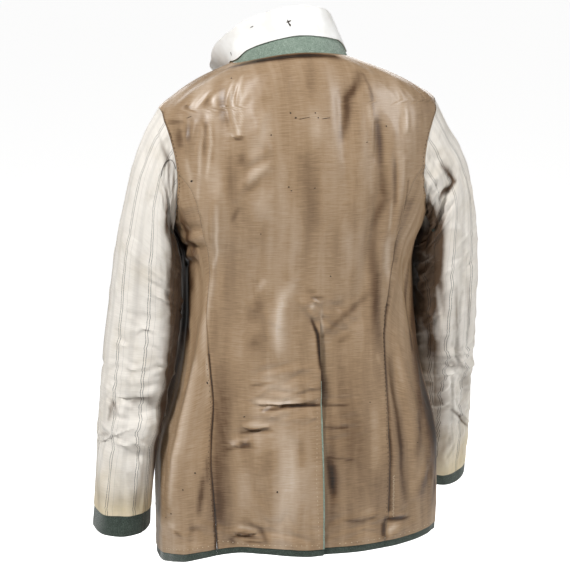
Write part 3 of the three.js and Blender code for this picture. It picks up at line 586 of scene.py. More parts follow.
def sew_in(piece, nodes, with_pieces=()):
    """The piece rides on the tunic and stands for its solids, which it hides."""
    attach(piece, "root")
    if nodes:
        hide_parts(*nodes)
    print(piece.name, len(piece.data.polygons), "faces")
    return piece

# %% [markdown]
# ## Light and dark streaks in the satin
# Satin is woven so that its threads lie along one way, and it shines in streaks where it turns a
# little. The geometry gives the large ones. This table paints the fine ones into the colour, as
# strokes through spots (angle, level), each with a half width and a strength: over 0 is a painted
# sheen, greyer and lighter, and under 0 a painted shade, browner and darker. The strengths are
# kept on the mesh, as the attribute "sheen".

# %% Sheen strokes
SHEEN_STROKES = [
    # half width in mm, strength, then the angle and the level of each spot
    # Left shoulder and blade.
    (13.5, 0.7, 63, 692, 56, 669, 55, 646), (2.2, 0.9, 41, 684, 33, 649, 30, 615),
    (2.4, 0.9, 38, 689, 31, 660, 29, 637, 30, 618), (2.2, -0.3, 35, 671, 30, 623),
    (2.2, 0.8, 43, 646, 42, 603, 46, 556), (2.2, 0.7, 47, 629, 46, 614, 48, 589, 51, 527),
    (3, 0.7, 46, 668, 41, 646), (9, 0.5, 42, 576, 41, 528), (7.5, 0.6, 19, 644, 20, 611, 25, 582),
    (4.5, 0.8, 19, 577, 24, 565, 28, 549), (3, 0.7, 31, 615, 29, 616), (2.2, -1, 32, 608, 28, 611),
    (4.5, -0.5, 49, 665, 48, 654), (6.5, -0.65, 60, 626, 59, 598), (4.5, -0.6, 55, 630, 53, 606),
    (6, -0.5, 43, 675, 34, 625), (3, -0.6, 45, 633, 46, 589), (7.5, -0.35, 35, 589, 35, 529),
    (7.5, -0.5, 31, 585, 28, 582), (6, -0.55, 24, 556, 28, 541), (10.5, 0.55, 21, 546, 22, 497),
    (2.2, -0.8, 70, 633, 58, 635), (2.2, -0.7, 61, 653, 55, 652),
    (2.7, -0.8, 80, 646, 72, 632, 66, 613, 64, 570), (4.5, 0.45, 56, 585, 54, 548),
    (8, -0.55, 64, 570, 70, 515, 80, 470), (10, -0.6, 84, 460, 80, 400, 76, 320),
    # Right shoulder and blade.
    (5, -1, -27, 690, -15, 654, -13, 625, -11, 601), (4.5, -1, -26, 631, -27, 599, -28, 569),
    (6, -0.7, -28, 569, -30, 520, -26, 479), (3.5, 0.6, -23, 647, -23, 623), (4, 0.6, -41, 642, -38, 604),
    (2.2, -0.6, -29, 689, -27, 678, -24, 631), (7.5, 0.4, -1, 641, -1, 603), (9, -0.35, -2, 703, 1, 656),
    (12, -0.4, 4, 591, 2, 553, 0, 480), (6, 0.25, -22, 593, -24, 521),
    (5, 0.5, -35, 594, -38, 554, -37, 510), (3, -0.7, -34, 574, -35, 511), (6, -0.7, -56, 569, -59, 513),
    (18, 0.15, -11, 697, -15, 665), (12, 0.2, 15, 574, 14, 485), (15, 0.2, -6, 615, -9, 482),
    # Middle.
    (2.5, 0.85, 41, 521, 43, 487, 47, 454, 52, 426), (5.5, 0.75, 53, 415, 55, 379, 56, 335, 55, 303),
    (3, -0.5, 32, 517, 36, 497), (9, 0.85, 11, 409, 15, 389, 17, 369, 18, 340, 17, 308),
    (4.5, 0.5, 24, 415, 28, 396), (10.5, -0.45, 27, 384, 32, 351), (12, -0.5, 28, 337, 29, 308),
    (6, -0.4, 77, 364, 74, 298), (7.5, -0.45, 71, 409, 72, 385),
    (8, -0.75, -26, 479, -31, 409, -31, 365, -32, 298), (5.5, 0.65, -35, 466, -40, 400),
    (2.2, 0.6, -33, 519, -34, 474), (3, 0.6, -41, 512, -40, 470), (2.2, -0.7, -40, 512, -39, 471),
    (7.5, -0.3, -14, 523, -17, 477), (7.5, 0.15, -46, 487, -53, 428, -49, 321),
    (4, -0.9, -64, 420, -57, 285), (2.4, -0.8, 2, 385, -5, 384), (4.5, -0.3, 4, 397, -1, 393),
    (4, 0.9, 2, 374, 0, 371), (2.2, 0.6, -4, 366, -5, 330),
    (5, -0.6, -27, 381, -18, 361, -11, 345, -6, 330), (4.5, -0.35, -18, 327, -12, 315),
    (15, -0.15, 40, 439, 38, 339),
    # Below, left of the vent.
    (7, 0.8, 61, 292, 62, 264, 62, 215, 62, 176, 64, 127, 67, 79), (2.7, 0.6, 54, 300, 52, 269),
    (4, 0.5, 95, 189, 86, 172), (4.5, -0.85, 48, 123, 50, 63), (3, -0.4, 46, 153, 45, 113),
    (10.5, -0.45, 47, 289, 39, 174, 39, 114, 40, 51), (6, -0.4, 39, 103, 39, 45),
    (9, -0.2, 38, 291, 37, 194), (13.5, 0.45, 25, 272, 6, 241), (4, 0.8, 27, 236, 6, 233),
    (2.2, -1, 22, 228, -2, 228), (4, 0.6, 30, 202, 20, 202), (2.2, -1, 30, 196, 19, 197),
    (18, 0.6, 17, 184, 9, 173, 11, 134, 13, 52), (5, -0.6, 6, 182, 6, 137), (3, -0.8, 32, 174, 27, 174),
    (12, -0.5, 20, 165, 19, 125), (7.5, 0.5, 29, 135, 29, 61), (12, -0.3, 18, 114, 20, 62),
    (7.5, 0.4, 1, 142, 0, 30), (3.5, -0.8, 28, 52, 23, 44, 20, 18), (3, 0.8, 32, 45, 26, 41),
    (2.2, -1, 33, 36, 25, 31), (3.5, -0.7, 35, 28, 33, 16), (2.2, -0.7, 65, 42, 59, 36),
    (4.5, 0.5, 71, 51, 64, 48), (4.5, -0.5, 55, 48, 49, 43), (4.5, 0.2, 71, 18, 45, 25),
    # Below, right of the vent.
    (3.5, -0.9, -4, 288, -4, 225), (6, -0.45, -6, 267, -6, 232), (7.5, 0.55, -26, 221, -24, 162, -23, 112),
    (3, 0.4, -30, 293, -31, 279), (4.5, -0.6, -5, 150, -6, 130), (4.5, -0.9, -6, 135, -7, 90),
    (4.5, 0.3, -17, 58, -23, 65), (3, -0.6, -11, 51, -18, 47, -23, 50),
    (5.5, -0.85, -39, 283, -38, 235, -37, 170, -37, 114, -39, 65),
    (6, 0.2, -44, 280, -42, 222, -42, 151, -43, 78), (7.5, -0.65, -54, 226, -50, 167, -45, 128),
    (4.5, 0.15, -53, 133, -44, 87), (9, -0.65, -54, 100, -47, 65), (4.5, -0.7, -75, 190, -59, 42),
    (14, -0.45, -66, 290, -66, 120), (4.5, 0.9, -33, 34, -29, 22), (2.4, -1, -29, 46, -38, 41),
    (2.4, -1, -27, 40, -27, 17), (27, -0.15, -15, 231, -14, 82),
    # Painted shadow of the tucks, along the vent's slit and under the collar.
    (1.6, -1.7, 24, 223, 12, 225.5, -4, 227.5), (2, -1, 32, 191, 18, 193), (2, -0.8, 37, 167, 26, 171),
    (2.2, -1.2, 34, 29, 23, 27), (2, -0.9, 29, 20, 22, 19),
    (3.2, -1.9, 70, 706, 46, 709, 5, 709, -15, 709, -30, 708), (2.4, -1.9, 1, 354, -2, 330, -3, 280),
    (5, -0.35, -6, 225, -7, 120, -6, 20), (2.2, -1.1, -28, 43, -41, 38), (1.8, -0.8, -28, 50, -28, 12),
    (2, -0.7, 10, 246, -4, 252), (1.5, -0.6, -4, 224, -15, 223), (1.6, -0.8, -4, 193, -14, 190),
    (1.5, -0.4, -6, 148, -17, 140), (1.8, -0.6, 30, 258, 18, 264),
    # Painted shade under the arms, where the sleeves shade the sides of the lining.
    (26, -1.7, 84, 540, 80, 430, 84, 310), (16, -1, 88, 360, 93, 180), (10, -1, 64, 510, 66, 430),
    (20, -0.9, -64, 580, -73, 430, -71, 300, -64, 100), (22, -0.8, -62, 320, -60, 30),
    (26, -1.3, -84, 540, -84, 310), (22, -1.1, 97, 540, 96, 320), (22, -1.1, -97, 540, -96, 320),
    # Painted shade and painted sheen on long lengths of the skirt: browner and darker, and greyer and
    # lighter.
    (14, -0.35, 48, 360, 40, 160, 38, 0), (26, 0.3, 12, 250, 14, 0),
    # Painted shade: the lower part of the tunic is made browner and darker than the shoulders, most of all on
    # the right.
    (85, -0.35, -28, 300, -28, 10), (50, -0.25, 42, 150, 44, 10),
    # Like ones round the front.
    (8, 0.6, 88, 330, 84, 200, 88, 60), (6, 0.5, 100, 430, 98, 300), (7, -0.5, 110, 330, 106, 120),
    (7, 0.6, 119, 640, 124, 500, 118, 330), (4, 0.7, 132, 660, 128, 540), (3, 0.6, 139, 640, 140, 520),
    (8, -0.6, 150, 560, 154, 380, 150, 220), (7, 0.5, 160, 620, 162, 470), (9, 0.5, 163, 330, 160, 180),
    (8, 0.6, 142, 300, 140, 60), (6, -0.7, 156, 140, 157, 30), (6, -0.6, 131, 240, 128, 60),
    (2.4, -1, 165, 256, 148, 256), (2.4, -1, 137, 26, 124, 26), (8, 0.5, -80, 400, -76, 250, -80, 90),
    (7, -0.5, -97, 330, -94, 120), (7, 0.5, -108, 430, -104, 240),
    (7, 0.6, -119, 640, -124, 500, -119, 330), (4, 0.7, -133, 660, -128, 560),
    (3, 0.6, -140, 640, -141, 540), (8, -0.6, -150, 540, -153, 360, -149, 200),
    (7, 0.5, -160, 600, -163, 440), (9, 0.5, -164, 300, -161, 150), (8, 0.6, -141, 320, -139, 70),
    (6, -0.7, -155, 130, -157, 30), (2.4, -1, -165, 250, -148, 250),
]
# The seams' own shadows, in rows of the same kind.
SEAM_SHADOWS = [
    (1.2, -0.9, 56.4, 400, 56, 364, 52.5, 300), (1.3, -1.7, 52.5, 300, 46, 205, 41.6, 75, 40.5, 8),
    (1.2, -0.9, -41.5, 545, -40.5, 480, -42.5, 429, -38.6, 363),
    (1.2, -1.2, -38.6, 363, -34.5, 267, -30.5, 167, -29.5, 55), (1.3, -1.2, 118, 12, 118, 300, 121, 478),
    (1.3, -1.2, -118, 12, -118, 300, -121, 478),
]


def stroke_strength(x, y, rows, radius, tapered=True):
    """Sum of soft strokes at x, y. A tapered stroke fades towards both of its ends."""
    strength = np.zeros(x.shape)
    for row in rows:
        width, amount, px, py = read_row(row, radius)
        best, share, _ = nearest_on_path(px, py, x, y)
        fade = 0.3 + 0.85 * np.sqrt(np.maximum(np.sin(np.pi * share), 0)) if tapered else 1
        strength += amount * fade * np.exp(-(best / width) ** 2)
    return strength


def sheen_of(angle, level):
    x = np.radians(angle) * BODY_RADIUS
    drawn = stroke_strength(x, level, SHEEN_STROKES, BODY_RADIUS)
    seams = stroke_strength(x, level, SEAM_SHADOWS, BODY_RADIUS, tapered=False)
    return np.clip(drawn + seams, -1.9, 1.1)


print("sheen strokes:", len(SHEEN_STROKES))

# %% [markdown]
# ## Shader groups
# Cloth is threads, and wool is fibres. Each effect that several finishes share is one node group
# with named inputs, which gives out only masks and heights. The shader itself stays in each
# material, because gloss, sheen and roughness belong to the finish and not to the effect.

# %% Group helpers
def new_group(name, inputs, outputs):
    """A shader node group. inputs and outputs: {name: (socket type, default)}."""
    group = bpy.data.node_groups.new(name, "ShaderNodeTree")
    for label, (kind, default) in inputs.items():
        socket = group.interface.new_socket(name=label, in_out="INPUT", socket_type=kind)
        if default is not None:
            socket.default_value = default
    for label in outputs:
        group.interface.new_socket(name=label, in_out="OUTPUT", socket_type="NodeSocketFloat")
    return group, group.nodes.new("NodeGroupInput").outputs, group.nodes.new("NodeGroupOutput").inputs


def add_node(tree, kind, inputs=None, **settings):
    """Adds a node, sets it, and fills its inputs with values or with another node's outputs."""
    new = tree.nodes.new(kind)
    for key, value in settings.items():
        setattr(new, key, value)
    for key, value in (inputs or {}).items():
        if isinstance(value, bpy.types.NodeSocket):
            tree.links.new(value, new.inputs[key])
        else:
            new.inputs[key].default_value = value
    return new


def math_of(tree, operation, first, second=None, third=None, clamp=False):
    inputs = {i: value for i, value in enumerate((first, second, third)) if value is not None}
    return add_node(tree, "ShaderNodeMath", inputs, operation=operation, use_clamp=clamp).outputs[0]


def noise_of(tree, vector, scale, detail=2.0, roughness=0.5, distortion=0.0):
    return add_node(tree, "ShaderNodeTexNoise", {
        "Vector": vector, "Scale": scale, "Detail": detail, "Roughness": roughness,
        "Distortion": distortion}).outputs["Fac"]


def mix_of(tree, factor, first, second, blend="MIX"):
    mixer = add_node(tree, "ShaderNodeMix", data_type="RGBA", blend_type=blend)
    for index, value in ((0, factor), (6, first), (7, second)):
        if isinstance(value, bpy.types.NodeSocket):
            tree.links.new(value, mixer.inputs[index])
        else:
            mixer.inputs[index].default_value = value
    return mixer.outputs[2]


def stretched(tree, vector, across, along):
    scale = add_node(tree, "ShaderNodeVectorMath", {0: vector, 1: (across, along, 1)}, operation="MULTIPLY")
    return scale.outputs[0]


# %% Thread group
def thread_group():
    """Slubs: long thin streaks along the weft and the warp. Vector is a UV map in metres."""
    group, given, result = new_group(
        "slubs", {"Vector": ("NodeSocketVector", None), "Weft": ("NodeSocketFloat", 760.0),
                  "Warp": ("NodeSocketFloat", 55.0)}, ("Level", "Upright", "Height"))
    split = add_node(group, "ShaderNodeSeparateXYZ", {0: given["Vector"]}).outputs
    level = add_node(group, "ShaderNodeCombineXYZ", {
        0: math_of(group, "MULTIPLY", split[0], 46.0),
        1: math_of(group, "MULTIPLY", split[1], given["Weft"])})
    # The upright streaks are broad soft bars along the warp. The satin paints them into its colour as a
    # sheen, and they add a little to the height.
    upright = add_node(group, "ShaderNodeCombineXYZ", {
        0: math_of(group, "MULTIPLY", split[0], given["Warp"]),
        1: math_of(group, "MULTIPLY", split[1], 3.5)})
    level_fac = noise_of(group, level.outputs[0], 1.0, 3.0, 0.55)
    upright_fac = noise_of(group, upright.outputs[0], 1.0, 2.0, 0.5)
    group.links.new(level_fac, result["Level"])
    group.links.new(upright_fac, result["Upright"])
    upright_part = math_of(group, "MULTIPLY", upright_fac, 0.3)
    group.links.new(math_of(group, "MULTIPLY_ADD", level_fac, 0.7, upright_part), result["Height"])
    return group


# %% Fibre group
def fibre_group():
    """Short wool fibres on Object coordinates: a melange mask and a fuzzy height."""
    group, given, result = new_group(
        "fibres", {"Vector": ("NodeSocketVector", None), "Size": ("NodeSocketFloat", 900.0)},
        ("Melange", "Patches", "Height"))
    fine = noise_of(group, given["Vector"], given["Size"], 4.0, 0.7, 0.6)
    coarse = noise_of(group, given["Vector"], 120.0, 3.0, 0.6)
    group.links.new(fine, result["Melange"])
    group.links.new(coarse, result["Patches"])
    group.links.new(math_of(group, "MULTIPLY_ADD", fine, 0.7, math_of(group, "MULTIPLY", coarse, 0.3)),
                    result["Height"])
    return group


slubs = thread_group()
fibres = fibre_group()
print("groups:", slubs.name, fibres.name)


# %% Finishes
def srgb(red, green, blue):
    """A colour given as screen values 0 to 255, in the linear values of a shader."""
    def linear(value):
        value /= 255
        return value / 12.92 if value <= 0.04045 else ((value + 0.055) / 1.055) ** 2.4
    return (linear(red), linear(green), linear(blue), 1)


def new_finish(name, roughness, sheen=0.0, specular=0.4, metallic=0.0):
    finish = bpy.data.materials.new(name)
    finish.use_nodes = True
    tree = finish.node_tree
    shader = tree.nodes["Principled BSDF"]
    shader.inputs["Roughness"].default_value = roughness
    shader.inputs["Sheen Weight"].default_value = sheen
    shader.inputs["Specular IOR Level"].default_value = specular
    shader.inputs["Metallic"].default_value = metallic
    return finish, tree, shader


def use_group(tree, group, vector, **values):
    return add_node(tree, "ShaderNodeGroup", {"Vector": vector, **values}, node_tree=group).outputs


def place_in_object(tree):
    return add_node(tree, "ShaderNodeTexCoord").outputs["Object"]


def cloth_map(tree):
    """The UV map of a cloth piece, in metres along its threads."""
    return add_node(tree, "ShaderNodeUVMap", uv_map="cloth").outputs[0]


def mark_of(tree, name):
    """A number that was kept on the mesh by keep_mark."""
    return add_node(tree, "ShaderNodeAttribute", attribute_name=name).outputs["Fac"]


def vary(tree, value, mask, amount, middle=0.5, clamp=False):
    """The value, made more or less by a mask's distance from its middle."""
    away = math_of(tree, "SUBTRACT", mask, middle)
    return math_of(tree, "MULTIPLY_ADD", away, amount, value, clamp=clamp)


def give_colour(tree, shader, colour):
    tree.links.new(colour, shader.inputs["Base Color"])


def bump_of(tree, shader, height, strength, distance):
    bump = add_node(tree, "ShaderNodeBump", {"Height": height, "Strength": strength, "Distance": distance})
    tree.links.new(bump.outputs[0], shader.inputs["Normal"])


def ramp_of(tree, factor, stops):
    ramp = add_node(tree, "ShaderNodeValToRGB", {"Fac": factor}).color_ramp
    while len(ramp.elements) < len(stops):
        ramp.elements.new(0.5)
    for element, (position, colour) in zip(ramp.elements, stops):
        element.position, element.color = position, colour
    return tree.nodes[-1].outputs["Color"]


# %% [markdown]
# ## Satin lining
# The body's lining is a brown viscose satin. Its colour carries a painted sheen and a painted shade:
# the sheen strokes and broad soft streaks along the warp make it greyer and lighter in places and
# browner and darker in others. Level slubs and wide faded patches vary it too, and its gloss is
# broken up by the same slubs.

# %% Satin
def make_satin():
    finish, tree, shader = new_finish("brown_satin", 0.36, specular=0.42)
    cloth = cloth_map(tree)
    streaks = use_group(tree, slubs, cloth)
    # Painted sheen and painted shade: the strokes kept as "sheen" make the colour lighter and greyer, or
    # darker and browner.
    sheen = mark_of(tree, "sheen")
    tone = math_of(tree, "MULTIPLY_ADD", sheen, 0.28, 0.53)
    tone = vary(tree, tone, streaks["Level"], 0.36)
    # Painted sheen: broad soft streaks along the warp make the colour lighter and darker.
    tone = vary(tree, tone, streaks["Upright"], 0.26)
    faded = noise_of(tree, stretched(tree, cloth, 26.0, 7.0), 1.0, 4.0, 0.6, 0.8)
    tone = vary(tree, tone, faded, 0.32, clamp=True)
    colour = ramp_of(tree, tone, [
        (0.0, srgb(36, 26, 18)), (0.22, srgb(86, 63, 43)), (0.52, srgb(151, 126, 98)),
        (0.76, srgb(182, 162, 141)), (1.0, srgb(212, 201, 189))])
    give_colour(tree, shader, colour)
    rough = math_of(tree, "MULTIPLY_ADD", streaks["Level"], 0.2, 0.3)
    tree.links.new(rough, shader.inputs["Roughness"])
    bump_of(tree, shader, streaks["Height"], 0.2, 0.0004)
    return finish


# %% [markdown]
# ## Wool and cotton
# The wool is a field-grey melange: dark green, grey and pale fibres mixed before spinning. The
# collar's is cleaner and greener. The liner is smooth white cotton.

# %% Wool, cotton, thread, metal
def make_wool(name, dark, middle, pale):
    finish, tree, shader = new_finish(name, 0.95, sheen=0.35, specular=0.15)
    spot = place_in_object(tree)
    fuzz = use_group(tree, fibres, spot, Size=900.0)
    blend = vary(tree, fuzz["Melange"], fuzz["Patches"], 0.2)
    colour = ramp_of(tree, blend, [(0.3, dark), (0.5, middle), (0.72, pale)])
    give_colour(tree, shader, colour)
    bump_of(tree, shader, fuzz["Height"], 0.7, 0.0012)
    return finish


def make_cotton():
    finish, tree, shader = new_finish("white_cotton", 0.75, sheen=0.1, specular=0.3)
    cloth = cloth_map(tree)
    streaks = use_group(tree, slubs, cloth, Weft=1400.0)
    spot = place_in_object(tree)
    worn = noise_of(tree, spot, 30.0, 3.0)
    colour = ramp_of(tree, worn, [(0.3, srgb(226, 224, 219)), (0.6, srgb(243, 243, 241))])
    give_colour(tree, shader, colour)
    bump_of(tree, shader, streaks["Height"], 0.2, 0.0004)
    return finish


satin = make_satin()
wool = make_wool("grey_green_wool", srgb(28, 34, 30), srgb(52, 63, 56), srgb(86, 98, 88))
collar_wool = make_wool("collar_wool", srgb(84, 100, 90), srgb(124, 141, 128), srgb(172, 184, 170))
cotton = make_cotton()
print("finishes:", satin.name, wool.name, collar_wool.name, cotton.name)

# %% [markdown]
# ## Striped sleeve lining
# Sleeves are lined with a smooth cream cloth striped along the arm with pairs of thin dark
# threads. The stripes are drawn from the "cloth" map, so they stay straight along the threads
# however the sleeve creases. Near the cuffs the cloth has yellowed with age.

# %% Striped lining
STRIPE_REPEAT = 0.042
STRIPE_PAIR = 0.0034
STRIPE_WIDTH = 0.00042
# The clean cloth is mottled too, with the same mix of painted shade and brown wear.
SOIL_AND_SHADE_MOTTLE = 0.35          # how strongly even the clean cloth is mottled


def make_striped():
    finish, tree, shader = new_finish("striped_lining", 0.62, sheen=0.1, specular=0.35)
    cloth = cloth_map(tree)
    split = add_node(tree, "ShaderNodeSeparateXYZ", {0: cloth}).outputs
    shift = mark_of(tree, "stripe_shift")
    across = math_of(tree, "ADD", split[0], shift)

    def line(offset, half, soft=0.35):
        """1 on a thin line in every repeat, at an offset in metres."""
        moved = math_of(tree, "SUBTRACT", across, offset)
        near = math_of(tree, "ABSOLUTE", math_of(tree, "WRAP", moved, STRIPE_REPEAT / 2, -STRIPE_REPEAT / 2))
        edge = math_of(tree, "DIVIDE", math_of(tree, "SUBTRACT", near, half), half * soft)
        return math_of(tree, "SUBTRACT", 1.0, edge, clamp=True)
    pair = math_of(tree, "MAXIMUM", line(-STRIPE_PAIR / 2, STRIPE_WIDTH), line(STRIPE_PAIR / 2, STRIPE_WIDTH))
    single = line(0.0095, STRIPE_WIDTH * 0.7)
    band = line(STRIPE_REPEAT / 2, 0.0026, soft=1.0)
    streaks = use_group(tree, slubs, cloth)
    breaks = noise_of(tree, stretched(tree, cloth, 120.0, 700.0), 1.0, 1.0)
    dashes = math_of(tree, "GREATER_THAN", breaks, 0.42)
    dashes = math_of(tree, "MULTIPLY_ADD", dashes, 0.45, 0.55)
    ink = math_of(tree, "MULTIPLY", pair, math_of(tree, "MULTIPLY", dashes, 0.78))
    ink = math_of(tree, "MAXIMUM", ink, math_of(tree, "MULTIPLY", single, 0.22))
    ink = math_of(tree, "MAXIMUM", ink, math_of(tree, "MULTIPLY", band, 0.10))
    spot = place_in_object(tree)
    age = mark_of(tree, "age")
    blotch = noise_of(tree, spot, 22.0, 4.0, 0.6)
    age = vary(tree, age, blotch, 0.7, clamp=True)
    clean = mix_of(tree, streaks["Level"], srgb(202, 196, 187), srgb(234, 229, 221))
    base = mix_of(tree, age, clean, srgb(206, 188, 148))
    colour = mix_of(tree, ink, base, srgb(74, 72, 74))
    # Painted shade mixed with real brown wear: the mark darkens the sides that face the body and the creases,
    # and the blotch noise mottles it.
    soil_and_shade = mark_of(tree, "soil_and_shade")
    spread = math_of(tree, "MULTIPLY_ADD", soil_and_shade, 0.9, SOIL_AND_SHADE_MOTTLE)
    soil_and_shade = vary(tree, soil_and_shade, blotch, spread, middle=0.45, clamp=True)
    stain_and_shade = mix_of(tree, soil_and_shade, (1, 1, 1, 1), srgb(104, 84, 66))
    colour = mix_of(tree, 1.0, colour, stain_and_shade, blend="MULTIPLY")
    give_colour(tree, shader, colour)
    bump_of(tree, shader, streaks["Height"], 0.18, 0.0005)
    return finish


striped = make_striped()
print("striped lining:", round(1 / STRIPE_REPEAT), "stripe pairs a metre")

# %% [markdown]
# ## Armholes
# Each armhole is a squarish oval on the body, from the shoulder tip down to the underarm. It is
# counted by a turn from the shoulder tip towards the back, and the sleeve starts on the same oval.

# %% Armholes and seams
SEAM_BACK = {
    "left": [(0, 40.5), (75, 41.6), (205, 46), (300, 52.5), (364, 56), (420, 55), (462, 53),
             (513, 52), (540, 55), (564, 63)],
    "right": [(0, -27.5), (55, -29.5), (167, -30.5), (267, -34.5), (363, -38.6), (429, -42.5),
              (473, -40.5), (511, -41), (541, -45.5), (564, -53)],
}
SEAM_FRONT = [(0, 125), (300, 118), (478, 121), (540, 122), (564, 120)]
FRONT_EDGE = [(0, 172.5), (120, 174), (360, 175.5), (600, 173), (713, 169)]
ARMHOLE_REACH = {"left": (27, 30), "right": (37, 30)}      # towards the back and the front, degrees
ARMHOLE_POWER = 2.2
ARMHOLE_MIDDLE = (TIP_LEVEL + UNDERARM_LEVEL) / 2
ARMHOLE_HALF = (TIP_LEVEL - UNDERARM_LEVEL) / 2
SIDES = {"left": 1, "right": -1}

seam_back = {side: smooth_curve(*np.array(rows, float).T) for side, rows in SEAM_BACK.items()}
seam_front = smooth_curve(*np.array(SEAM_FRONT, float).T)
front_edge = smooth_curve(*np.array(FRONT_EDGE, float).T)


def squared(value):
    return np.sign(value) * np.abs(value) ** (2 / ARMHOLE_POWER)


def armhole_spot(side, turn):
    """Angle and level of the armhole at a turn (radians) from the shoulder tip to the back."""
    away = squared(np.sin(turn))
    reach = np.where(away > 0, ARMHOLE_REACH[side][0], ARMHOLE_REACH[side][1])
    return SIDES[side] * (90 - reach * away), ARMHOLE_MIDDLE + ARMHOLE_HALF * squared(np.cos(turn))


def armhole_edge(side, level, at_back):
    """Angle of the armhole's back or front edge at a level."""
    height = np.clip((level - ARMHOLE_MIDDLE) / ARMHOLE_HALF, -1, 1)
    away = (1 - np.abs(height) ** ARMHOLE_POWER) ** (1 / ARMHOLE_POWER)
    reach = ARMHOLE_REACH[side][0] if at_back else -ARMHOLE_REACH[side][1]
    return SIDES[side] * (90 - reach * away)


def gap_angle(level):
    return np.degrees(SEAM_GAP / 2 / ((section["back"](level) + section["left"](level)) / 2))


def outer_edge(side, level, at_back):
    """Edge of the back or a front towards the side: seam, then armhole, then shoulder seam."""
    sign = SIDES[side]
    inward = (-sign if at_back else sign) * gap_angle(level)
    seam = (seam_back[side](level) if at_back else sign * seam_front(level)) + inward
    edge = armhole_edge(side, level, at_back)
    shoulder = sign * 90 + inward
    return np.where(level <= ARMHOLE_MIDDLE, seam, np.where(level <= TIP_LEVEL, edge, shoulder))


SEAM_DEPTH = 1.0
SEAM_HALF_WIDTH = 2.4


def seam_dip(distance):
    """Cloth rounds down into a seam: how far it sinks at a distance from it, in mm."""
    return -SEAM_DEPTH * np.exp(-(distance / SEAM_HALF_WIDTH) ** 2)


def cloth_rows(low, high, spacing, keep=()):
    """Row levels from low to high, about a spacing apart, with some levels kept exactly."""
    stops = [low, *[level for level in keep if low < level < high], high]
    rows = [low]
    for start, end in zip(stops, stops[1:]):
        count = max(1, round((end - start) / spacing))
        rows += list(np.linspace(start, end, count + 1)[1:])
    return np.array(rows)


def place_on(angle, level):
    """Where on the garment a spot is, in metres round and up the body."""
    return np.radians(angle) * BODY_RADIUS * MM, level * MM


print("armhole from", armhole_spot("left", 0.0), "to", armhole_spot("left", np.pi))

# %% [markdown]
# ## The back and its vent
# The back's lining is one piece from the neck down to the vent. Below that it is slit: the left
# flap hangs over the right one, which goes on under it as a hidden underlap. So three grids are
# made, sharing their points above the slit only, and are then joined and welded.

# %% Back
VENT_ANGLE = -3.4
VENT_TOP = 355.0
UNDERLAP_TOP = 300.0
LAP_CLOTH_TOP = 345.0     # the lap's cloth is caught in the slit's top
UNDERLAP = 42.0
UNDERLAP_DROP = 4.2
UNDERLAP_BLEND = 55.0
VENT_GAPE = 3.2
VENT_VALLEY = 5.0         # how much further the right flap sinks along the open slit
VALLEY_START = (190, 240)
VALLEY_END = 325
VALLEY_WIDTH = 16.0
EDGE_WIDTH = 2.2
EDGE_LEVELS = (HEM_BAND, 262.0)
BACK_ROW = 3.0
BACK_COLUMNS = 96         # columns on each side of the vent line


def vent_gape(level):
    return np.where(level < VENT_TOP, VENT_GAPE / 2 * smoothstep(VENT_TOP - level, 0, 40), 0)


def length_angle(length, level):
    return np.degrees(length / section["left"](level))


def vent_valley(level):
    """The slit stands open between these levels, where the right flap sinks deeper."""
    return VENT_VALLEY * smoothstep(level, *VALLEY_START) * (1 - smoothstep(level, VALLEY_END, VENT_TOP))


def under_vent(distance, level, blend=UNDERLAP_BLEND):
    """How far the right flap lies below the left one, by distance from the slit."""
    sunk = np.where(level < VENT_TOP, smoothstep(VENT_TOP - level, 0, VENT_TOP - UNDERLAP_TOP), 0)
    near = 1 - smoothstep(distance, 0, blend)
    return -(UNDERLAP_DROP * sunk * near + vent_valley(level) * np.exp(-(distance / VALLEY_WIDTH) ** 2))


def back_grid(name, share, level, start, end, out):
    angle = start + (end - start) * share
    points, normal = body_surface(angle, level, out(angle, level))
    piece = grid_cloth(name, points, normal, place_on(angle, level), middle=0)
    keep_mark(piece, "sheen", sheen_of(angle, level))
    return piece


back_levels = cloth_rows(HEM_BAND, NECK_LEVEL, BACK_ROW, keep=(VENT_TOP, ARMHOLE_MIDDLE, TIP_LEVEL))


def make_vent_edge(finish):
    """The left flap's wool is turned in along the vent, and a narrow edge of it shows."""
    share, level = np.meshgrid(np.linspace(0, 1, 4), np.linspace(*EDGE_LEVELS, 90), indexing="ij")
    start = VENT_ANGLE + length_angle(vent_gape(level), level)
    away = EDGE_WIDTH * (1 - 0.75 * smoothstep(level, 190, EDGE_LEVELS[1])) * share - 0.5
    angle = start + length_angle(away, level)
    out = 0.8 * np.exp(-(away / 9) ** 2) + 0.35 - 0.5 * (1 - share) ** 2 + 0.08 * share * np.sin(level / 4)
    points, normal = body_surface(angle, level, out)
    edge = grid_cloth("vent_edge_wool", points, normal, place_on(angle, level), middle=0)
    give_wall(edge, 0.5, finish, finish)
    return sew_in(edge, [])


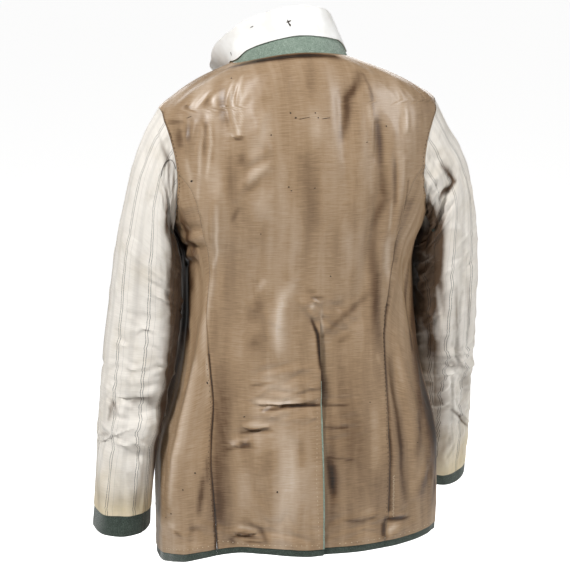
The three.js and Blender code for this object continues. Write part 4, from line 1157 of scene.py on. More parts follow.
def make_back(wall_lining, wall_wool, edge_wool):
    share, level = np.meshgrid(np.linspace(0, 1, BACK_COLUMNS + 1), back_levels, indexing="ij")
    gape = length_angle(vent_gape(level), level)
    flaps = []
    for side in SIDES:
        start = VENT_ANGLE + SIDES[side] * gape
        end = outer_edge(side, level, True)

        def out(angle, level, side=side, start=start, end=end):
            to_seam = np.abs(end - angle) * np.pi / 180 * BODY_RADIUS
            from_vent = np.abs(angle - start) * np.pi / 180 * section["left"](level)
            dip = seam_dip(to_seam) * (level < ARMHOLE_MIDDLE)
            if side == "left":
                lip = np.where(level < VENT_TOP - 8, 0.8 * np.exp(-(from_vent / 9) ** 2), 0)
                return dip + lip
            return dip + under_vent(from_vent, level)
        flaps.append(back_grid(f"back_{side}", share, level, start, end, out))
    lap_levels = back_levels[back_levels <= LAP_CLOTH_TOP]
    share, level = np.meshgrid(np.linspace(0, 1, 13), lap_levels, indexing="ij")
    start = VENT_ANGLE - length_angle(vent_gape(level), level)
    end = start + length_angle(UNDERLAP, level)

    def lap_depth(angle, level):
        at_slit = under_vent(np.zeros(level.shape), level)
        return at_slit + (np.minimum(at_slit, -UNDERLAP_DROP) - at_slit) * smoothstep(share, 0, 0.25)
    flaps.append(back_grid("underlap", share, level, start, end, lap_depth))
    back = join_cloth("back_lining", flaps)
    give_wall(back, WALL, wall_lining, wall_wool)
    return sew_in(back, ["back"],
                  with_pieces=[make_vent_edge(edge_wool)])


make_back(satin, wool, collar_wool)

# %% [markdown]
# ## Side panels and fronts
# The side panels run from the hem up into the lower half of the armhole, so their top edge is a
# curve. The fronts run past the armhole to the shoulder and the neck, and end at the open front
# edge. Nothing of the tunic's outside shows there either: it is the same lining all round.

# %% Side panels and fronts
SIDE_ROWS = 170
SIDE_COLUMNS = 64
FRONT_ROW = 3.4
FRONT_COLUMNS = 74


def side_place(side, share, t):
    sign = SIDES[side]
    top_angle, top_level = armhole_spot(side, np.pi / 2 + np.pi * share)
    level = HEM_BAND + (top_level - HEM_BAND) * t
    back = seam_back[side](level) + sign * gap_angle(level)
    front = sign * (seam_front(level) - gap_angle(level))
    rounded = (1 - squared(np.cos(np.pi * share))) / 2
    spread = share + (rounded - share) * smoothstep(t, 0.5, 1)
    inner = (share > 0) & (share < 1)
    bend = np.where(inner, smoothstep(t, 0.55, 1), 0)
    angle = back + (front - back) * spread
    to_seam = np.minimum(np.abs(angle - back), np.abs(front - angle)) * np.pi / 180 * BODY_RADIUS
    return angle + (top_angle - angle) * bend, level, seam_dip(to_seam) * (1 - bend)


def make_side(side):
    share, t = np.meshgrid(np.linspace(0, 1, SIDE_COLUMNS + 1), np.linspace(0, 1, SIDE_ROWS + 1),
                           indexing="ij")
    angle, level, dip = side_place(side, share, t)
    points, normal = body_surface(angle, level, dip)
    panel = grid_cloth(f"side_lining_{side}", points, normal, place_on(angle, level))
    keep_mark(panel, "sheen", sheen_of(angle, level))
    give_wall(panel, WALL, satin, wool)
    return sew_in(panel, [f"side_{side}"])


def front_place(side, share, level):
    sign = SIDES[side]
    start = outer_edge(side, level, False)
    end = sign * front_edge(level)
    angle = start + (end - start) * share
    to_seam = np.abs(angle - start) * np.pi / 180 * BODY_RADIUS
    return angle, seam_dip(to_seam) * (level < ARMHOLE_MIDDLE)


def make_front(side):
    levels = cloth_rows(HEM_BAND, NECK_LEVEL, FRONT_ROW, keep=(ARMHOLE_MIDDLE, TIP_LEVEL))
    share, level = np.meshgrid(np.linspace(0, 1, FRONT_COLUMNS + 1), levels, indexing="ij")
    angle, dip = front_place(side, share, level)
    points, normal = body_surface(angle, level, dip)
    panel = grid_cloth(f"front_lining_{side}", points, normal, place_on(angle, level), middle=0)
    keep_mark(panel, "sheen", sheen_of(angle, level))
    give_wall(panel, WALL, satin, wool)
    return sew_in(panel, [f"front_{side}"])


for side in SIDES:
    make_side(side)
    make_front(side)

# %% [markdown]
# ## The wool at the hem
# The wool is turned up at the hem and the lining is felled to it a finger's width higher, so a
# narrow band of wool shows all round. It lies a little further in than the lining and rounds
# over at its lower edge, because it is a fold and not a cut edge.

# %% Hem bands
HEM_STEP = 0.9
HEM_ROLL = 2.2            # height over which the fold at the bottom rounds over


def make_hem(name, node, angle_of, out_of, columns, width, area):
    levels = np.concatenate([np.linspace(0, HEM_ROLL, 5), np.linspace(HEM_ROLL, HEM_BAND - SEAM_GAP, 6)[1:]])
    share, level = np.meshgrid(np.linspace(0, 1, columns + 1), levels, indexing="ij")
    angle, out = angle_of(share), out_of(share)
    roll = 0.8 * (1 - np.minimum(level / HEM_ROLL, 1)) ** 2
    points, normal = body_surface(angle, level, out - HEM_STEP - roll)
    band = grid_cloth(name, points, normal, place_on(angle, level))
    give_wall(band, WALL - HEM_STEP, wool, wool)
    return sew_in(band, [node])


def at_hem(place):
    """Angles and depths of a panel's lowest row, as functions of the share across it."""
    return lambda share: place(share)[0], lambda share: place(share)[1]


def back_hem_place(side):
    low = np.array(HEM_BAND)
    start = VENT_ANGLE + SIDES[side] * length_angle(vent_gape(low), low)
    end = outer_edge(side, low, True)

    def place(share):
        angle = start + (end - start) * share
        from_vent = np.abs(angle - start) * np.pi / 180 * section["left"](low)
        return angle, np.zeros(share.shape) if side == "left" else under_vent(from_vent, low)
    return place


def underlap_hem_place(share):
    low = np.array(HEM_BAND)
    start = VENT_ANGLE - length_angle(vent_gape(low), low)
    return start + length_angle(UNDERLAP, low) * share, under_vent(np.zeros(share.shape), low)


for side in SIDES:
    make_hem(f"hem_wool_back_{side}", f"hem_back_{side}", *at_hem(back_hem_place(side)),
             60, {"left": 0.165, "right": 0.105}[side], {"left": 0.00175, "right": 0.0011}[side])

    def side_hem_place(share, side=side):
        angle, _, dip = side_place(side, share, np.zeros(share.shape))
        return angle, dip
    make_hem(f"hem_wool_side_{side}", f"hem_side_{side}", *at_hem(side_hem_place),
             70, {"left": 0.27, "right": 0.33}[side], {"left": 0.0029, "right": 0.0035}[side])

    def front_hem_place(share, side=side):
        return front_place(side, share, np.full(share.shape, HEM_BAND))
    make_hem(f"hem_wool_front_{side}", f"hem_front_{side}", *at_hem(front_hem_place), 56, 0.20, 0.0021)
make_hem("hem_wool_underlap", "hem_back_right", *at_hem(underlap_hem_place), 12, 0.045, 0.00048)

# %% [markdown]
# ## The sleeves
# Each sleeve is a tube of rings. A row of the table is one ring at a distance down the sleeve: its
# outermost and innermost point from behind, where its middle lies from front to back, half its
# depth, and how far it tips forward. The first ring is the armhole itself, and the tube takes its
# own section over the first hand's breadth.

# %% Rings and folds of the sleeves
JOIN_GAP = 0.45
SLEEVE_RADIUS = 55.0      # turns an angle round a sleeve into a length
ARMHOLE_BLEND = 130.0
TURN_STEP, DOWN_STEP = 0.02, 3      # between the points that give the sleeve's normals
SEAM_TURN = {"back": math.radians(126), "front": math.radians(234)}
RING_COLUMNS = ("outer_x", "outer_z", "inner_x", "inner_z", "middle_y", "half_depth", "tip")
RINGS = {
    "left": np.array([
        (0, 198, 650, 183, 478, 0, 60, 0),
        (40, 218, 617, 185, 460, 1, 64, 0),
        (95, 237, 568, 175, 441, 2, 66, 0),
        (160, 253, 505, 169.5, 419, 3, 64, 0),
        (230, 267, 435, 170, 384, 4, 59, 0),
        (300, 277, 368, 172, 343, 5, 55, 0),
        (370, 287, 298, 179, 291, 6, 54, 2),
        (440, 293, 228, 192, 226, 7, 53, 5),
        (520, 298, 152, 211, 152, 6, 51, 6),
        (590, 302, 84, 217, 86, 1, 50, 6),
        (648, 306, 26, 219, 31, -5, 51, 6),
    ]),
    "right": np.array([
        (0, 216, 655, 198, 478, 2, 62, 0),
        (40, 233, 620, 198, 461, 3, 66, 0),
        (95, 260, 567, 191, 443, 4, 67, 0),
        (160, 277, 500, 185, 420, 4, 63, 0),
        (230, 285, 430, 184, 384, 3, 58, 2),
        (300, 289, 362, 187, 332, 0, 56, 8),
        (370, 294, 298, 195, 277, -16, 55, 18),
        (440, 304, 236, 209, 218, -46, 54, 25),
        (520, 314, 162, 224, 150, -84, 51, 27),
        (590, 322, 100, 234, 92, -114, 50, 27),
        (664, 331, 36, 241, 32, -147, 51, 27),
    ]),
}
LINING_END = {"left": 615.0, "right": 638.0}
SLEEVE_FOLDS = {
    "left": [
        (56, 436, 140, 442, 15, -7), (0, 512, 60, 494, 13, -5), (66, 518, 128, 512, 14, -6),
        (85, 470, 130, 480, 16, 4), (150, 430, 215, 410, 15, -6), (100, 35, 122, 130, 13, -6),
        (25, 70, 40, 330, 18, 4), (66, 60, 70, 330, 15, -4), (112, 190, 120, 420, 15, 4),
        (225, 330, 300, 350, 15, -5), (240, 390, 300, 380, 15, -6), (30, 540, 42, 620, 14, 4),
        (62, 535, 72, 620, 14, -4), (290, 120, 300, 320, 16, -4), (170, 110, 190, 330, 16, -4),
    ],
    "right": [
        (84, 395, 46, 515, 14, -7), (92, 520, 30, 545, 13, -6), (70, 440, 120, 452, 15, -5),
        (70, 55, 142, 118, 14, -8), (95, 150, 100, 330, 14, 5), (118, 120, 124, 360, 15, -6),
        (30, 60, 48, 330, 17, 4), (66, 140, 72, 350, 15, -4), (205, 390, 300, 372, 15, -7),
        (215, 430, 300, 445, 15, -6), (20, 400, 24, 500, 15, -4), (100, 560, 104, 640, 13, 4),
        (56, 550, 62, 640, 14, -4), (290, 120, 300, 320, 16, -4), (170, 130, 180, 330, 16, -4),
    ],
}
ring = {side: {name: smooth_curve(rows[:, 0], rows[:, i + 1]) for i, name in enumerate(RING_COLUMNS)}
        for side, rows in RINGS.items()}


def ring_point(side, turn, down):
    """A point of the sleeve's own tube, before it is led into the armhole."""
    at = {name: curve(down) for name, curve in ring[side].items()}
    tip = np.radians(at["tip"])
    cos, sin = np.cos(turn), np.sin(turn)
    middle_radius = ((at["outer_x"] - at["inner_x"]) / 2 + at["half_depth"]) / 2
    fold = fold_height(np.mod(turn, 2 * np.pi) * SLEEVE_RADIUS, down, SLEEVE_FOLDS[side], SLEEVE_RADIUS)
    swell = 1 + fold / middle_radius * smoothstep(down, 20, 90)
    mid_x, mid_z = (at["outer_x"] + at["inner_x"]) / 2, (at["outer_z"] + at["inner_z"]) / 2
    return np.stack([
        SIDES[side] * (mid_x + (at["outer_x"] - mid_x) * cos * swell),
        at["middle_y"] + at["half_depth"] * sin * np.cos(tip) * swell,
        mid_z + (at["outer_z"] - mid_z) * cos * swell - at["half_depth"] * sin * np.sin(tip) * swell,
    ], axis=-1)


def armhole_rim(side, turn):
    """The sleeve's first ring: the armhole's rim, a join gap further in."""
    twenty = 2 * np.pi * np.arange(20) / 20
    centre = body_point(*armhole_spot(side, twenty)).mean(axis=0)
    point, normal = body_surface(*armhole_spot(side, turn))
    inward = centre - point
    inward = unit(inward - normal * np.sum(inward * normal, axis=-1, keepdims=True))
    return point + inward * JOIN_GAP


def sleeve_tube(side, turn, down):
    """Points and normals of the sleeve on a grid of turns (columns) and distances down (rows)."""
    turn, down = np.meshgrid(turn, down, indexing="ij")

    def points_at(turn, down):
        step = armhole_rim(side, turn[:, 0])[:, None] - ring_point(side, turn[:, :1], np.zeros((1, 1)))
        return ring_point(side, turn, down) + step * (np.maximum(0, 1 - down / ARMHOLE_BLEND) ** 2)[..., None]
    point = points_at(turn, down)
    across = points_at(turn + TURN_STEP, down) - points_at(turn - TURN_STEP, down)
    along = points_at(turn, down + DOWN_STEP) - points_at(turn, np.maximum(down - DOWN_STEP, 0))
    return point, unit(np.cross(along, across)) * SIDES[side], turn, down


for side in SIDES:
    print(side, "sleeve, underarm to cuff, mm:", RINGS[side][-1, 0])

# %% [markdown]
# ## Creases of the sleeves
# Linen-light lining buckles most at the elbow, where an arm bent it for years. These rows are
# drawn as on the body, through spots (turn in degrees from the shoulder tip towards the
# back, distance down).

# %% Sleeve creases
SLEEVE_CREASES = {
    # half width and height in mm, then the turn and the distance down of each spot
    "left": [
        (3, -2.2, -9, 460, 15, 440, 39, 418), (7, -3, 39, 418, 53, 424, 86, 422),
        ("tuck", 5, 4.5, 45, 428, 78, 426, 110, 424), ("tuck", 6, 2.6, 39, 384, 66, 386, 93, 382),
        (7, 2.6, 39, 398, 68, 400, 99, 400), ("tuck", 3, 3.4, -12, 516, 40, 492, 56, 474),
        ("tuck", 3.5, 3.2, 40, 492, 68, 478, 88, 470), (2.5, 1.8, 62, 496, 81, 500, 101, 508),
        (2.5, 1.8, 80, 492, 101, 498, 132, 504), ("tuck", 2.5, 1.8, 75, 544, 93, 542),
        (5, -3.4, 39, 440, 44, 460, 38, 480), (4, 3, 12, 478, 34, 478),
        (4, 2.6, -10, 496, 18, 496, 33, 488), (5, 2.8, 53, 430, 60, 448, 58, 468),
        (5, -2.2, 72, 442, 90, 448, 104, 446), (3, -1.2, 32, 502, 46, 568),
        (6, -1.6, 9, 514, 33, 546, 46, 590), (5, 2.2, 102, 518, 102, 556, 96, 606),
        (5, -2.2, 119, 520, 117, 568, 110, 612), ("tuck", 3, 1.6, 32, 602, 51, 608),
        ("tuck", 5, 1.4, 30, 354, 63, 352), ("tuck", 6, 2.4, 68, 332, 81, 322, 99, 326),
        (6, -1.6, 62, 310, 80, 302, 99, 306), (3, -1.8, 24, 18, 46, 24, 62, 10),
        ("tuck", 3, 1.8, 46, 24, 57, 6), (4, 2.6, 60, 54, 72, 54, 88, 54),
        (4, -2.8, 68, 68, 82, 66, 92, 90), (3.5, 2.4, 84, 50, 92, 68, 92, 106),
        (3.5, -2.6, 87, 40, 101, 48, 99, 102), ("tuck", 5, 1.5, 51, 108, 70, 90),
        (5, 1.6, 60, 114, 74, 112, 78, 132), (9, 1.4, 6, 24, 9, 68, 22, 140),
        (8, -1.2, 42, 94, 53, 148, 62, 208), (4, 2.4, 94, 166, 105, 208, 105, 272),
        (4, -2.4, 105, 182, 112, 236, 111, 300), (5, 2.2, 104, 320, 112, 370, 112, 412),
        (5, 2.2, 123, 424, 123, 456, 126, 496),
        # The side away from the viewer.
        (8, -2.4, -90, 60, -70, 160, -64, 260), (8, 2, -40, 50, -34, 150, -38, 250),
        ("tuck", 5, 3.2, -110, 392, -80, 400, -50, 394), ("tuck", 5, 3.4, -100, 430, -70, 440, -44, 434),
        ("tuck", 4, 2.2, -84, 500, -60, 508), (6, -2.6, 180, 60, 172, 120, 176, 200),
        (7, 2.4, 200, 80, 206, 170, 198, 260), ("tuck", 5, 3.4, 150, 400, 186, 408, 222, 400),
        ("tuck", 5, 2.4, 160, 470, 196, 476),
    ],
    "right": [
        (4, -3.6, 76, 6, 76, 28, 72, 60), (5, 2.6, 70, 6, 66, 32, 64, 66), (6, -6, 72, 60, 69, 84),
        (5, -5.5, 69, 84, 87, 72, 105, 48), ("tuck", 2.5, 1.8, 98, 22, 90, 38, 88, 54),
        (3, 2, 104, 24, 101, 44, 96, 68), (2.5, -2, 92, 26, 99, 42), (4, 3.2, 104, 44, 122, 22, 140, 6),
        (5, 3, 84, 88, 93, 90, 104, 92), (4, -2.4, 81, 104, 93, 102, 101, 104), (3, 1.6, 62, 4, 56, 22),
        (6, 1.8, 54, 12, 54, 52, 48, 88), (6, -1.4, 33, 30, 36, 70, 42, 102),
        (3.5, 2.2, 104, 120, 105, 206, 108, 278), (3, -1.4, 84, 144, 84, 200, 72, 276),
        (3.5, -2.8, 72, 276, 80, 298, 80, 338), (4, -3.2, 80, 338, 84, 362, 80, 396),
        (7, 1.6, 57, 132, 62, 198, 62, 264), (6, -1.8, 57, 298, 56, 348, 57, 402),
        (6, 2.4, 101, 280, 99, 330, 102, 370), (5, -2.8, 98, 296, 93, 332, 93, 368),
        (4, -2.6, 101, 352, 86, 370, 70, 376), ("tuck", 5, 4, 110, 388, 93, 398, 75, 402),
        (4.5, -4.2, 87, 366, 76, 404), ("tuck", 4, 2.6, 70, 380, 50, 398, 32, 402),
        ("tuck", 5, 3.4, 78, 396, 60, 416, 33, 422), (2, 1.8, 140, 416, 114, 412, 92, 410, 51, 438),
        (4, -3.4, 96, 414, 90, 440, 90, 464), (3, -3, 81, 454, 80, 476, 63, 510),
        (3, -3.2, 88, 494, 53, 530, 21, 566), ("tuck", 4, 3.4, 90, 486, 56, 518, 18, 562),
        ("tuck", 4, 2.8, 114, 470, 101, 476, 84, 478), ("tuck", 4, 1.8, 119, 442, 99, 452),
        (4, -1.6, 88, 502, 82, 538, 84, 592), (6, 1.8, 48, 546, 62, 570, 66, 614),
        (5, -1.6, 22, 578, 46, 602, 63, 636), ("tuck", 4, 2, 64, 456, 36, 480), (4, 1.8, 60, 492, 20, 528),
        (4, 3, 192, 14, 180, 40, 171, 104), (5, -3, 159, 6, 148, 94, 142, 172),
        (6, 3.2, 136, 32, 129, 138, 126, 202), (6, 4, 170, 194, 147, 224, 136, 258),
        (6, -4, 160, 158, 136, 196, 126, 226), (6, -4, 172, 252, 148, 274, 138, 296),
        (5, 3.6, 148, 274, 134, 298, 123, 316), (6, 3.8, 171, 290, 153, 318, 138, 340),
        (5, -4, 148, 316, 136, 336, 134, 358), (5, -3.6, 126, 278, 120, 322, 119, 366),
        ("tuck", 5, 3, 176, 386, 146, 382, 122, 380), (6, 2.8, 168, 420, 129, 408),
        (5, -2, 158, 438, 126, 432),
        # The side away from the viewer.
        (8, -2.4, -90, 60, -70, 160, -64, 260), (8, 2, -44, 50, -36, 150, -40, 250),
        ("tuck", 5, 3.2, -110, 380, -80, 388, -50, 382), ("tuck", 5, 3.6, -100, 424, -70, 436, -40, 428),
        ("tuck", 4, 2.6, -90, 500, -60, 512, -30, 506), (7, 2.4, 200, 80, 206, 170, 198, 260),
        ("tuck", 5, 2.4, 184, 470, 214, 476),
    ],
}
SLEEVE_PUCKERS = {
    # turn, distance down, half width and half height in mm, how many, lean in degrees, depth in mm
    "left": [
        (75, 440, 45, 60, 70, 5, 2.6), (60, 545, 50, 55, 36, 72, 1.7), (66, 190, 46, 130, 56, 80, 1.6),
        (80, 280, 42, 120, 50, 12, 1.7), (80, 30, 32, 36, 34, 60, 2.2), (150, 250, 35, 160, 40, 60, 2.4),
        (-70, 200, 60, 150, 50, 80, 1.6), (-70, 440, 60, 60, 50, 8, 2.6), (190, 450, 40, 60, 26, 8, 2.4),
    ],
    "right": [
        (75, 430, 45, 62, 70, 5, 2.6), (60, 565, 50, 52, 36, 72, 1.7), (60, 180, 46, 120, 56, 80, 1.6),
        (132, 230, 30, 130, 50, 40, 2.8), (112, 40, 36, 40, 38, -50, 2.3), (60, 280, 40, 90, 44, 12, 1.7),
        (-70, 200, 60, 150, 50, 80, 1.6), (-70, 440, 60, 60, 50, 8, 2.6), (190, 450, 40, 60, 26, 8, 2.4),
    ],
}
# Painted shade on the sleeve lining, on the sides that face the body and under the creases, mixed with real
# brown wear and old sweat.
SLEEVE_SOIL_AND_SHADE = {
    # half width in mm, strength, then the turn and the distance down of each spot
    "left": [
        (18, 1.5, 124, 50, 128, 160, 134, 300, 140, 420), (13, 1.2, 142, 420, 165, 600),
        (34, 0.9, 180, 40, 180, 420), (5, 0.5, 70, 432, 104, 424), (4, 0.5, 39, 436, 33, 466),
        (5, 0.5, 46, 24, 76, 18, 88, 40), (6, 0.8, 92, 50, 99, 130), (3, 0.4, 39, 434, 52, 452),
        (8, 0.5, 104, 424, 112, 440), (3, 0.4, 12, 494, 40, 486), (5, 0.12, 57, 194, 70, 324),
        (9, 0.12, -6, 200, 4, 420), (16, 0.22, 20, 585, 110, 590), (9, 0.25, 88, 540, 100, 600),
        (9, 0.2, 8, 560, 20, 612),
    ],
    "right": [
        (15, 1.15, 134, -20, 132, 120, 130, 240, 126, 390), (7, 0.55, 112, 60, 114, 180, 110, 300),
        (6, -0.5, 120, 250, 112, 330), (5, -0.45, 136, 120, 128, 190), (6, -0.5, 128, 290, 120, 350),
        (32, 0.9, 170, 0, 170, 420), (3.6, 0.9, 76, 40, 71, 62, 70, 82, 84, 76, 106, 54),
        (5, 0.7, 118, 26, 150, 6), (3, 0.3, 90, 458, 82, 598), (4, 0.45, 88, 264, 82, 372),
        (4, 0.3, 62, 260, 58, 366), (2.4, 0.9, 92, 486, 55, 530, 18, 570), (5, 0.45, 100, 390, 66, 410),
        (10, 0.25, 60, 420, 40, 480), (12, 0.4, 116, 390, 124, 640), (12, 0.2, 56, 440, 62, 620),
    ],
}


def sleeve_surface(side, turn, down, out=0.0):
    """The dressed sleeve on a grid of turns and distances down: points, normals and the grid."""
    point, normal, turn, down = sleeve_tube(side, turn, down)
    x = turn * SLEEVE_RADIUS
    fine = crease_height(x, -down, SLEEVE_CREASES[side], SLEEVE_RADIUS, up=-1)
    fine = fine + 0.8 * slack(x, down, 11 + SIDES[side])
    fine = fine + pucker_height(x, down, SLEEVE_PUCKERS[side], SLEEVE_RADIUS, 31 + SIDES[side])
    for seam in (SEAM_TURN["back"], SEAM_TURN["front"], SEAM_TURN["front"] - 2 * np.pi):
        fine = fine + seam_dip((turn - seam) * SLEEVE_RADIUS)
    gathers = np.sin(x / 3.1) * np.sin(x / 11.0) * 0.5 * np.exp(-down / 22)
    fine = (fine + gathers) * smoothstep(down, 1, 12)
    return point + normal * (fine + out)[..., None], normal, turn, down


# %% [markdown]
# ## Sewing the sleeves
# Each sleeve is cut as two panels, a wide top one and a narrow under one, with seams down the back
# and the front of the arm. The lining stops short of the end, where the wool is turned in.

# %% Sleeve panels and cuffs
SLEEVE_ROW = 3.0
TOP_COLUMNS = 112
UNDER_COLUMNS = 48
CUFF_STEP = 0.8
CUFF_COLUMNS = 120
STRIPE_SHIFT = {("left", "top"): 0.002, ("right", "top"): -0.015,
                ("left", "under"): 0.0, ("right", "under"): 0.001}
AGED = {"left": 90, "right": 150}      # how far up from the cuff the lining has yellowed
PANELS = {"top": (SEAM_TURN["front"] - 2 * np.pi, SEAM_TURN["back"], TOP_COLUMNS),
          "under": (SEAM_TURN["back"], SEAM_TURN["front"], UNDER_COLUMNS)}


def make_sleeve_panel(side, part):
    first, last, columns = PANELS[part]
    half_gap = SEAM_GAP / 2 / SLEEVE_RADIUS
    turns = np.linspace(first + half_gap, last - half_gap, columns + 1)
    downs = np.linspace(0, LINING_END[side], round(LINING_END[side] / SLEEVE_ROW) + 1)
    points, normal, turn, down = sleeve_surface(side, turns, downs)
    panel = grid_cloth(f"sleeve_{part}_lining_{side}", points, normal,
                       (turn * SLEEVE_RADIUS * MM, down * MM))
    keep_mark(panel, "age", smoothstep(down, LINING_END[side] - AGED[side], LINING_END[side] + 20) * 0.8)
    # Painted shade mixed with real brown wear, as strokes on the sleeve.
    soil_and_shade = stroke_strength(turn * SLEEVE_RADIUS, down, SLEEVE_SOIL_AND_SHADE[side], SLEEVE_RADIUS)
    keep_mark(panel, "soil_and_shade", np.clip(soil_and_shade, 0, 1))
    keep_mark(panel, "stripe_shift", np.full(down.shape, STRIPE_SHIFT[side, part]))
    give_wall(panel, WALL, striped, wool)
    return sew_in(panel, [f"sleeve_{part}_{side}"])


def make_cuff(side):
    end = RINGS[side][-1, 0]
    turns = np.linspace(0, 2 * np.pi, CUFF_COLUMNS + 1)
    roll = 2.0
    downs = np.concatenate([np.linspace(LINING_END[side] + SEAM_GAP, end - roll, 9),
                            np.linspace(end - roll, end, 5)[1:]])
    sink = -CUFF_STEP - 0.7 * (1 - np.minimum((end - downs) / roll, 1)) ** 2
    points, normal, turn, down = sleeve_surface(side, turns, downs, sink[None, :])
    points[-1] = points[0]
    cuff = grid_cloth(f"cuff_wool_{side}", points, normal, (turn * SLEEVE_RADIUS * MM, down * MM))
    cuff = join_cloth(cuff.name, [cuff])
    give_wall(cuff, WALL - CUFF_STEP, wool, wool)
    return sew_in(cuff, [f"cuff_{side}"])


for side in SIDES:
    for part in PANELS:
        make_sleeve_panel(side, part)
    make_cuff(side)

# %% [markdown]
# ## Collar
# The collar is a straight stand of wool that leans in at the back and falls open at the front,
# with a white cotton liner buttoned into it. Each row of the table gives, by angle from the centre
# back, the length of the stand, how far it leans in, and where on it the liner starts.

# %% Collar
COLLAR = np.array([
    (-162, 55, 12, 0.06), (-120, 58, 18, 0.05), (-80, 60, 24, 0.08), (-65, 64, 25, 0.26),
    (-45, 68, 26, 0.34), (0, 68, 25, 0.37), (45, 62, 14, 0.32), (60, 59, 9, 0.26),
    (75, 52, 4, 0.1), (90, 41, -6, 0.06), (105, 35, -28, 0.06), (120, 37, -60, 0.06),
    (138, 57, -76, 0.06), (152, 58, -79, 0.06)])
COLLAR_WALL = 2.6
LINER_WALL = 1.3
LINER_GAP = 0.9
LINER_RISE = 3.0
LINER_INSET = 1.5         # degrees short of the collar's ends
collar_length, collar_lean, liner_start = (smooth_curve(COLLAR[:, 0], COLLAR[:, i]) for i in (1, 2, 3))


def collar_point(angle, rise):
    turn = np.radians(angle)
    base = body_point(angle, NECK_LEVEL)
    inward = unit(base - body_point(angle, NECK_LEVEL - 4))
    lean = np.radians(collar_lean(angle))
    outward = unit(np.stack([np.sin(turn) / section["left"](NECK_LEVEL),
                             np.cos(turn) / section["back"](NECK_LEVEL), 0 * turn], axis=-1))
    length = collar_length(angle) * rise
    spot = base + inward * JOIN_GAP - outward * (np.sin(lean) * length)[..., None]
    spot[..., 2] += np.cos(lean) * length
    return spot


def collar_surface(angle, rise, out=0.0):
    across = collar_point(angle + 0.5, rise) - collar_point(angle - 0.5, rise)
    up = collar_point(angle, rise + 0.05) - collar_point(angle, rise)
    normal = unit(np.cross(up, across))
    return collar_point(angle, rise) + normal * np.broadcast_to(out, rise.shape)[..., None], normal


def collar_waves(angle, rise):
    """The stand isn't quite even: low waves along it that fade towards its seam."""
    x = np.radians(angle) * 85
    return smoothstep(rise, 0.02, 0.5) * (
        0.5 * np.sin(x / 21 + 0.6) + 0.35 * np.sin(x / 9.5 + 2) + 0.25 * np.sin(x / 5.2 + 4))


def make_collar():
    share, rise = np.meshgrid(np.linspace(0, 1, 181), np.linspace(0, 1, 25), indexing="ij")
    angle = COLLAR[0, 0] + (COLLAR[-1, 0] - COLLAR[0, 0]) * share
    edge = -0.5 * np.clip((rise - 0.95) / 0.05, 0, 1) ** 2
    points, normal = collar_surface(angle, rise, collar_waves(angle, rise) * 0.8 + edge)
    stand = grid_cloth("collar_stand", points, normal, (share, rise))
    give_wall(stand, COLLAR_WALL, collar_wool, collar_wool)
    return sew_in(stand, ["collar"])


def make_liner():
    share, up = np.meshgrid(np.linspace(0, 1, 181), np.linspace(0, 1, 25), indexing="ij")
    low, high = COLLAR[0, 0] + LINER_INSET, COLLAR[-1, 0] - LINER_INSET
    angle = low + (high - low) * share
    top = 1 + LINER_RISE / collar_length(angle)
    rise = liner_start(angle) + (top - liner_start(angle)) * up
    out = LINER_GAP + LINER_WALL + collar_waves(angle, rise) * 0.8 + 0.25 * np.sin(share * 61) * (1 - up)
    points, normal = collar_surface(angle, rise, out)
    liner = grid_cloth("white_liner", points, normal, (share, up))
    give_wall(liner, LINER_WALL, cotton, cotton)
    return sew_in(liner, ["collar_liner"])


make_collar()
make_liner()

# %% [markdown]
# ## Buttons
# Five metal buttons are sewn to the wool face of the left front, so on a tunic turned inside out
# they lie inside. Each starts as a disc, whose face is inset and raised ring by ring into a dome,
# with a narrow foot that the thread goes round.

# %% Buttons
BUTTON_RADIUS = 10.0
BUTTON_LEVELS = (600, 500, 400, 300, 205)
BUTTON_INSET = 22.0
BUTTON_GAP = 0.35
BUTTON_DOME = [(0.4, 0.55), (0.5, 0.25), (1.5, 0.9), (1.8, 0.6), (2.0, 0.35), (2.0, 0.15)]   # inset, rise


def make_button_metal():
    finish, tree, shader = new_finish("grey_button_metal", 0.5, specular=0.5, metallic=0.75)
    spot = place_in_object(tree)
    grain = noise_of(tree, spot, 1600.0, 2.0)
    worn = noise_of(tree, spot, 260.0, 3.0)
    colour = ramp_of(tree, worn, [(0.35, srgb(92, 96, 92)), (0.7, srgb(150, 152, 146))])
    give_colour(tree, shader, colour)
    bump_of(tree, shader, grain, 0.8, 0.0006)
    return finish


def top_faces(mesh):
    high = max(face.center.z for face in mesh.polygons)
    for face in mesh.polygons:
        face.select = face.center.z > high - 1e-6 and face.normal.z > 0.9


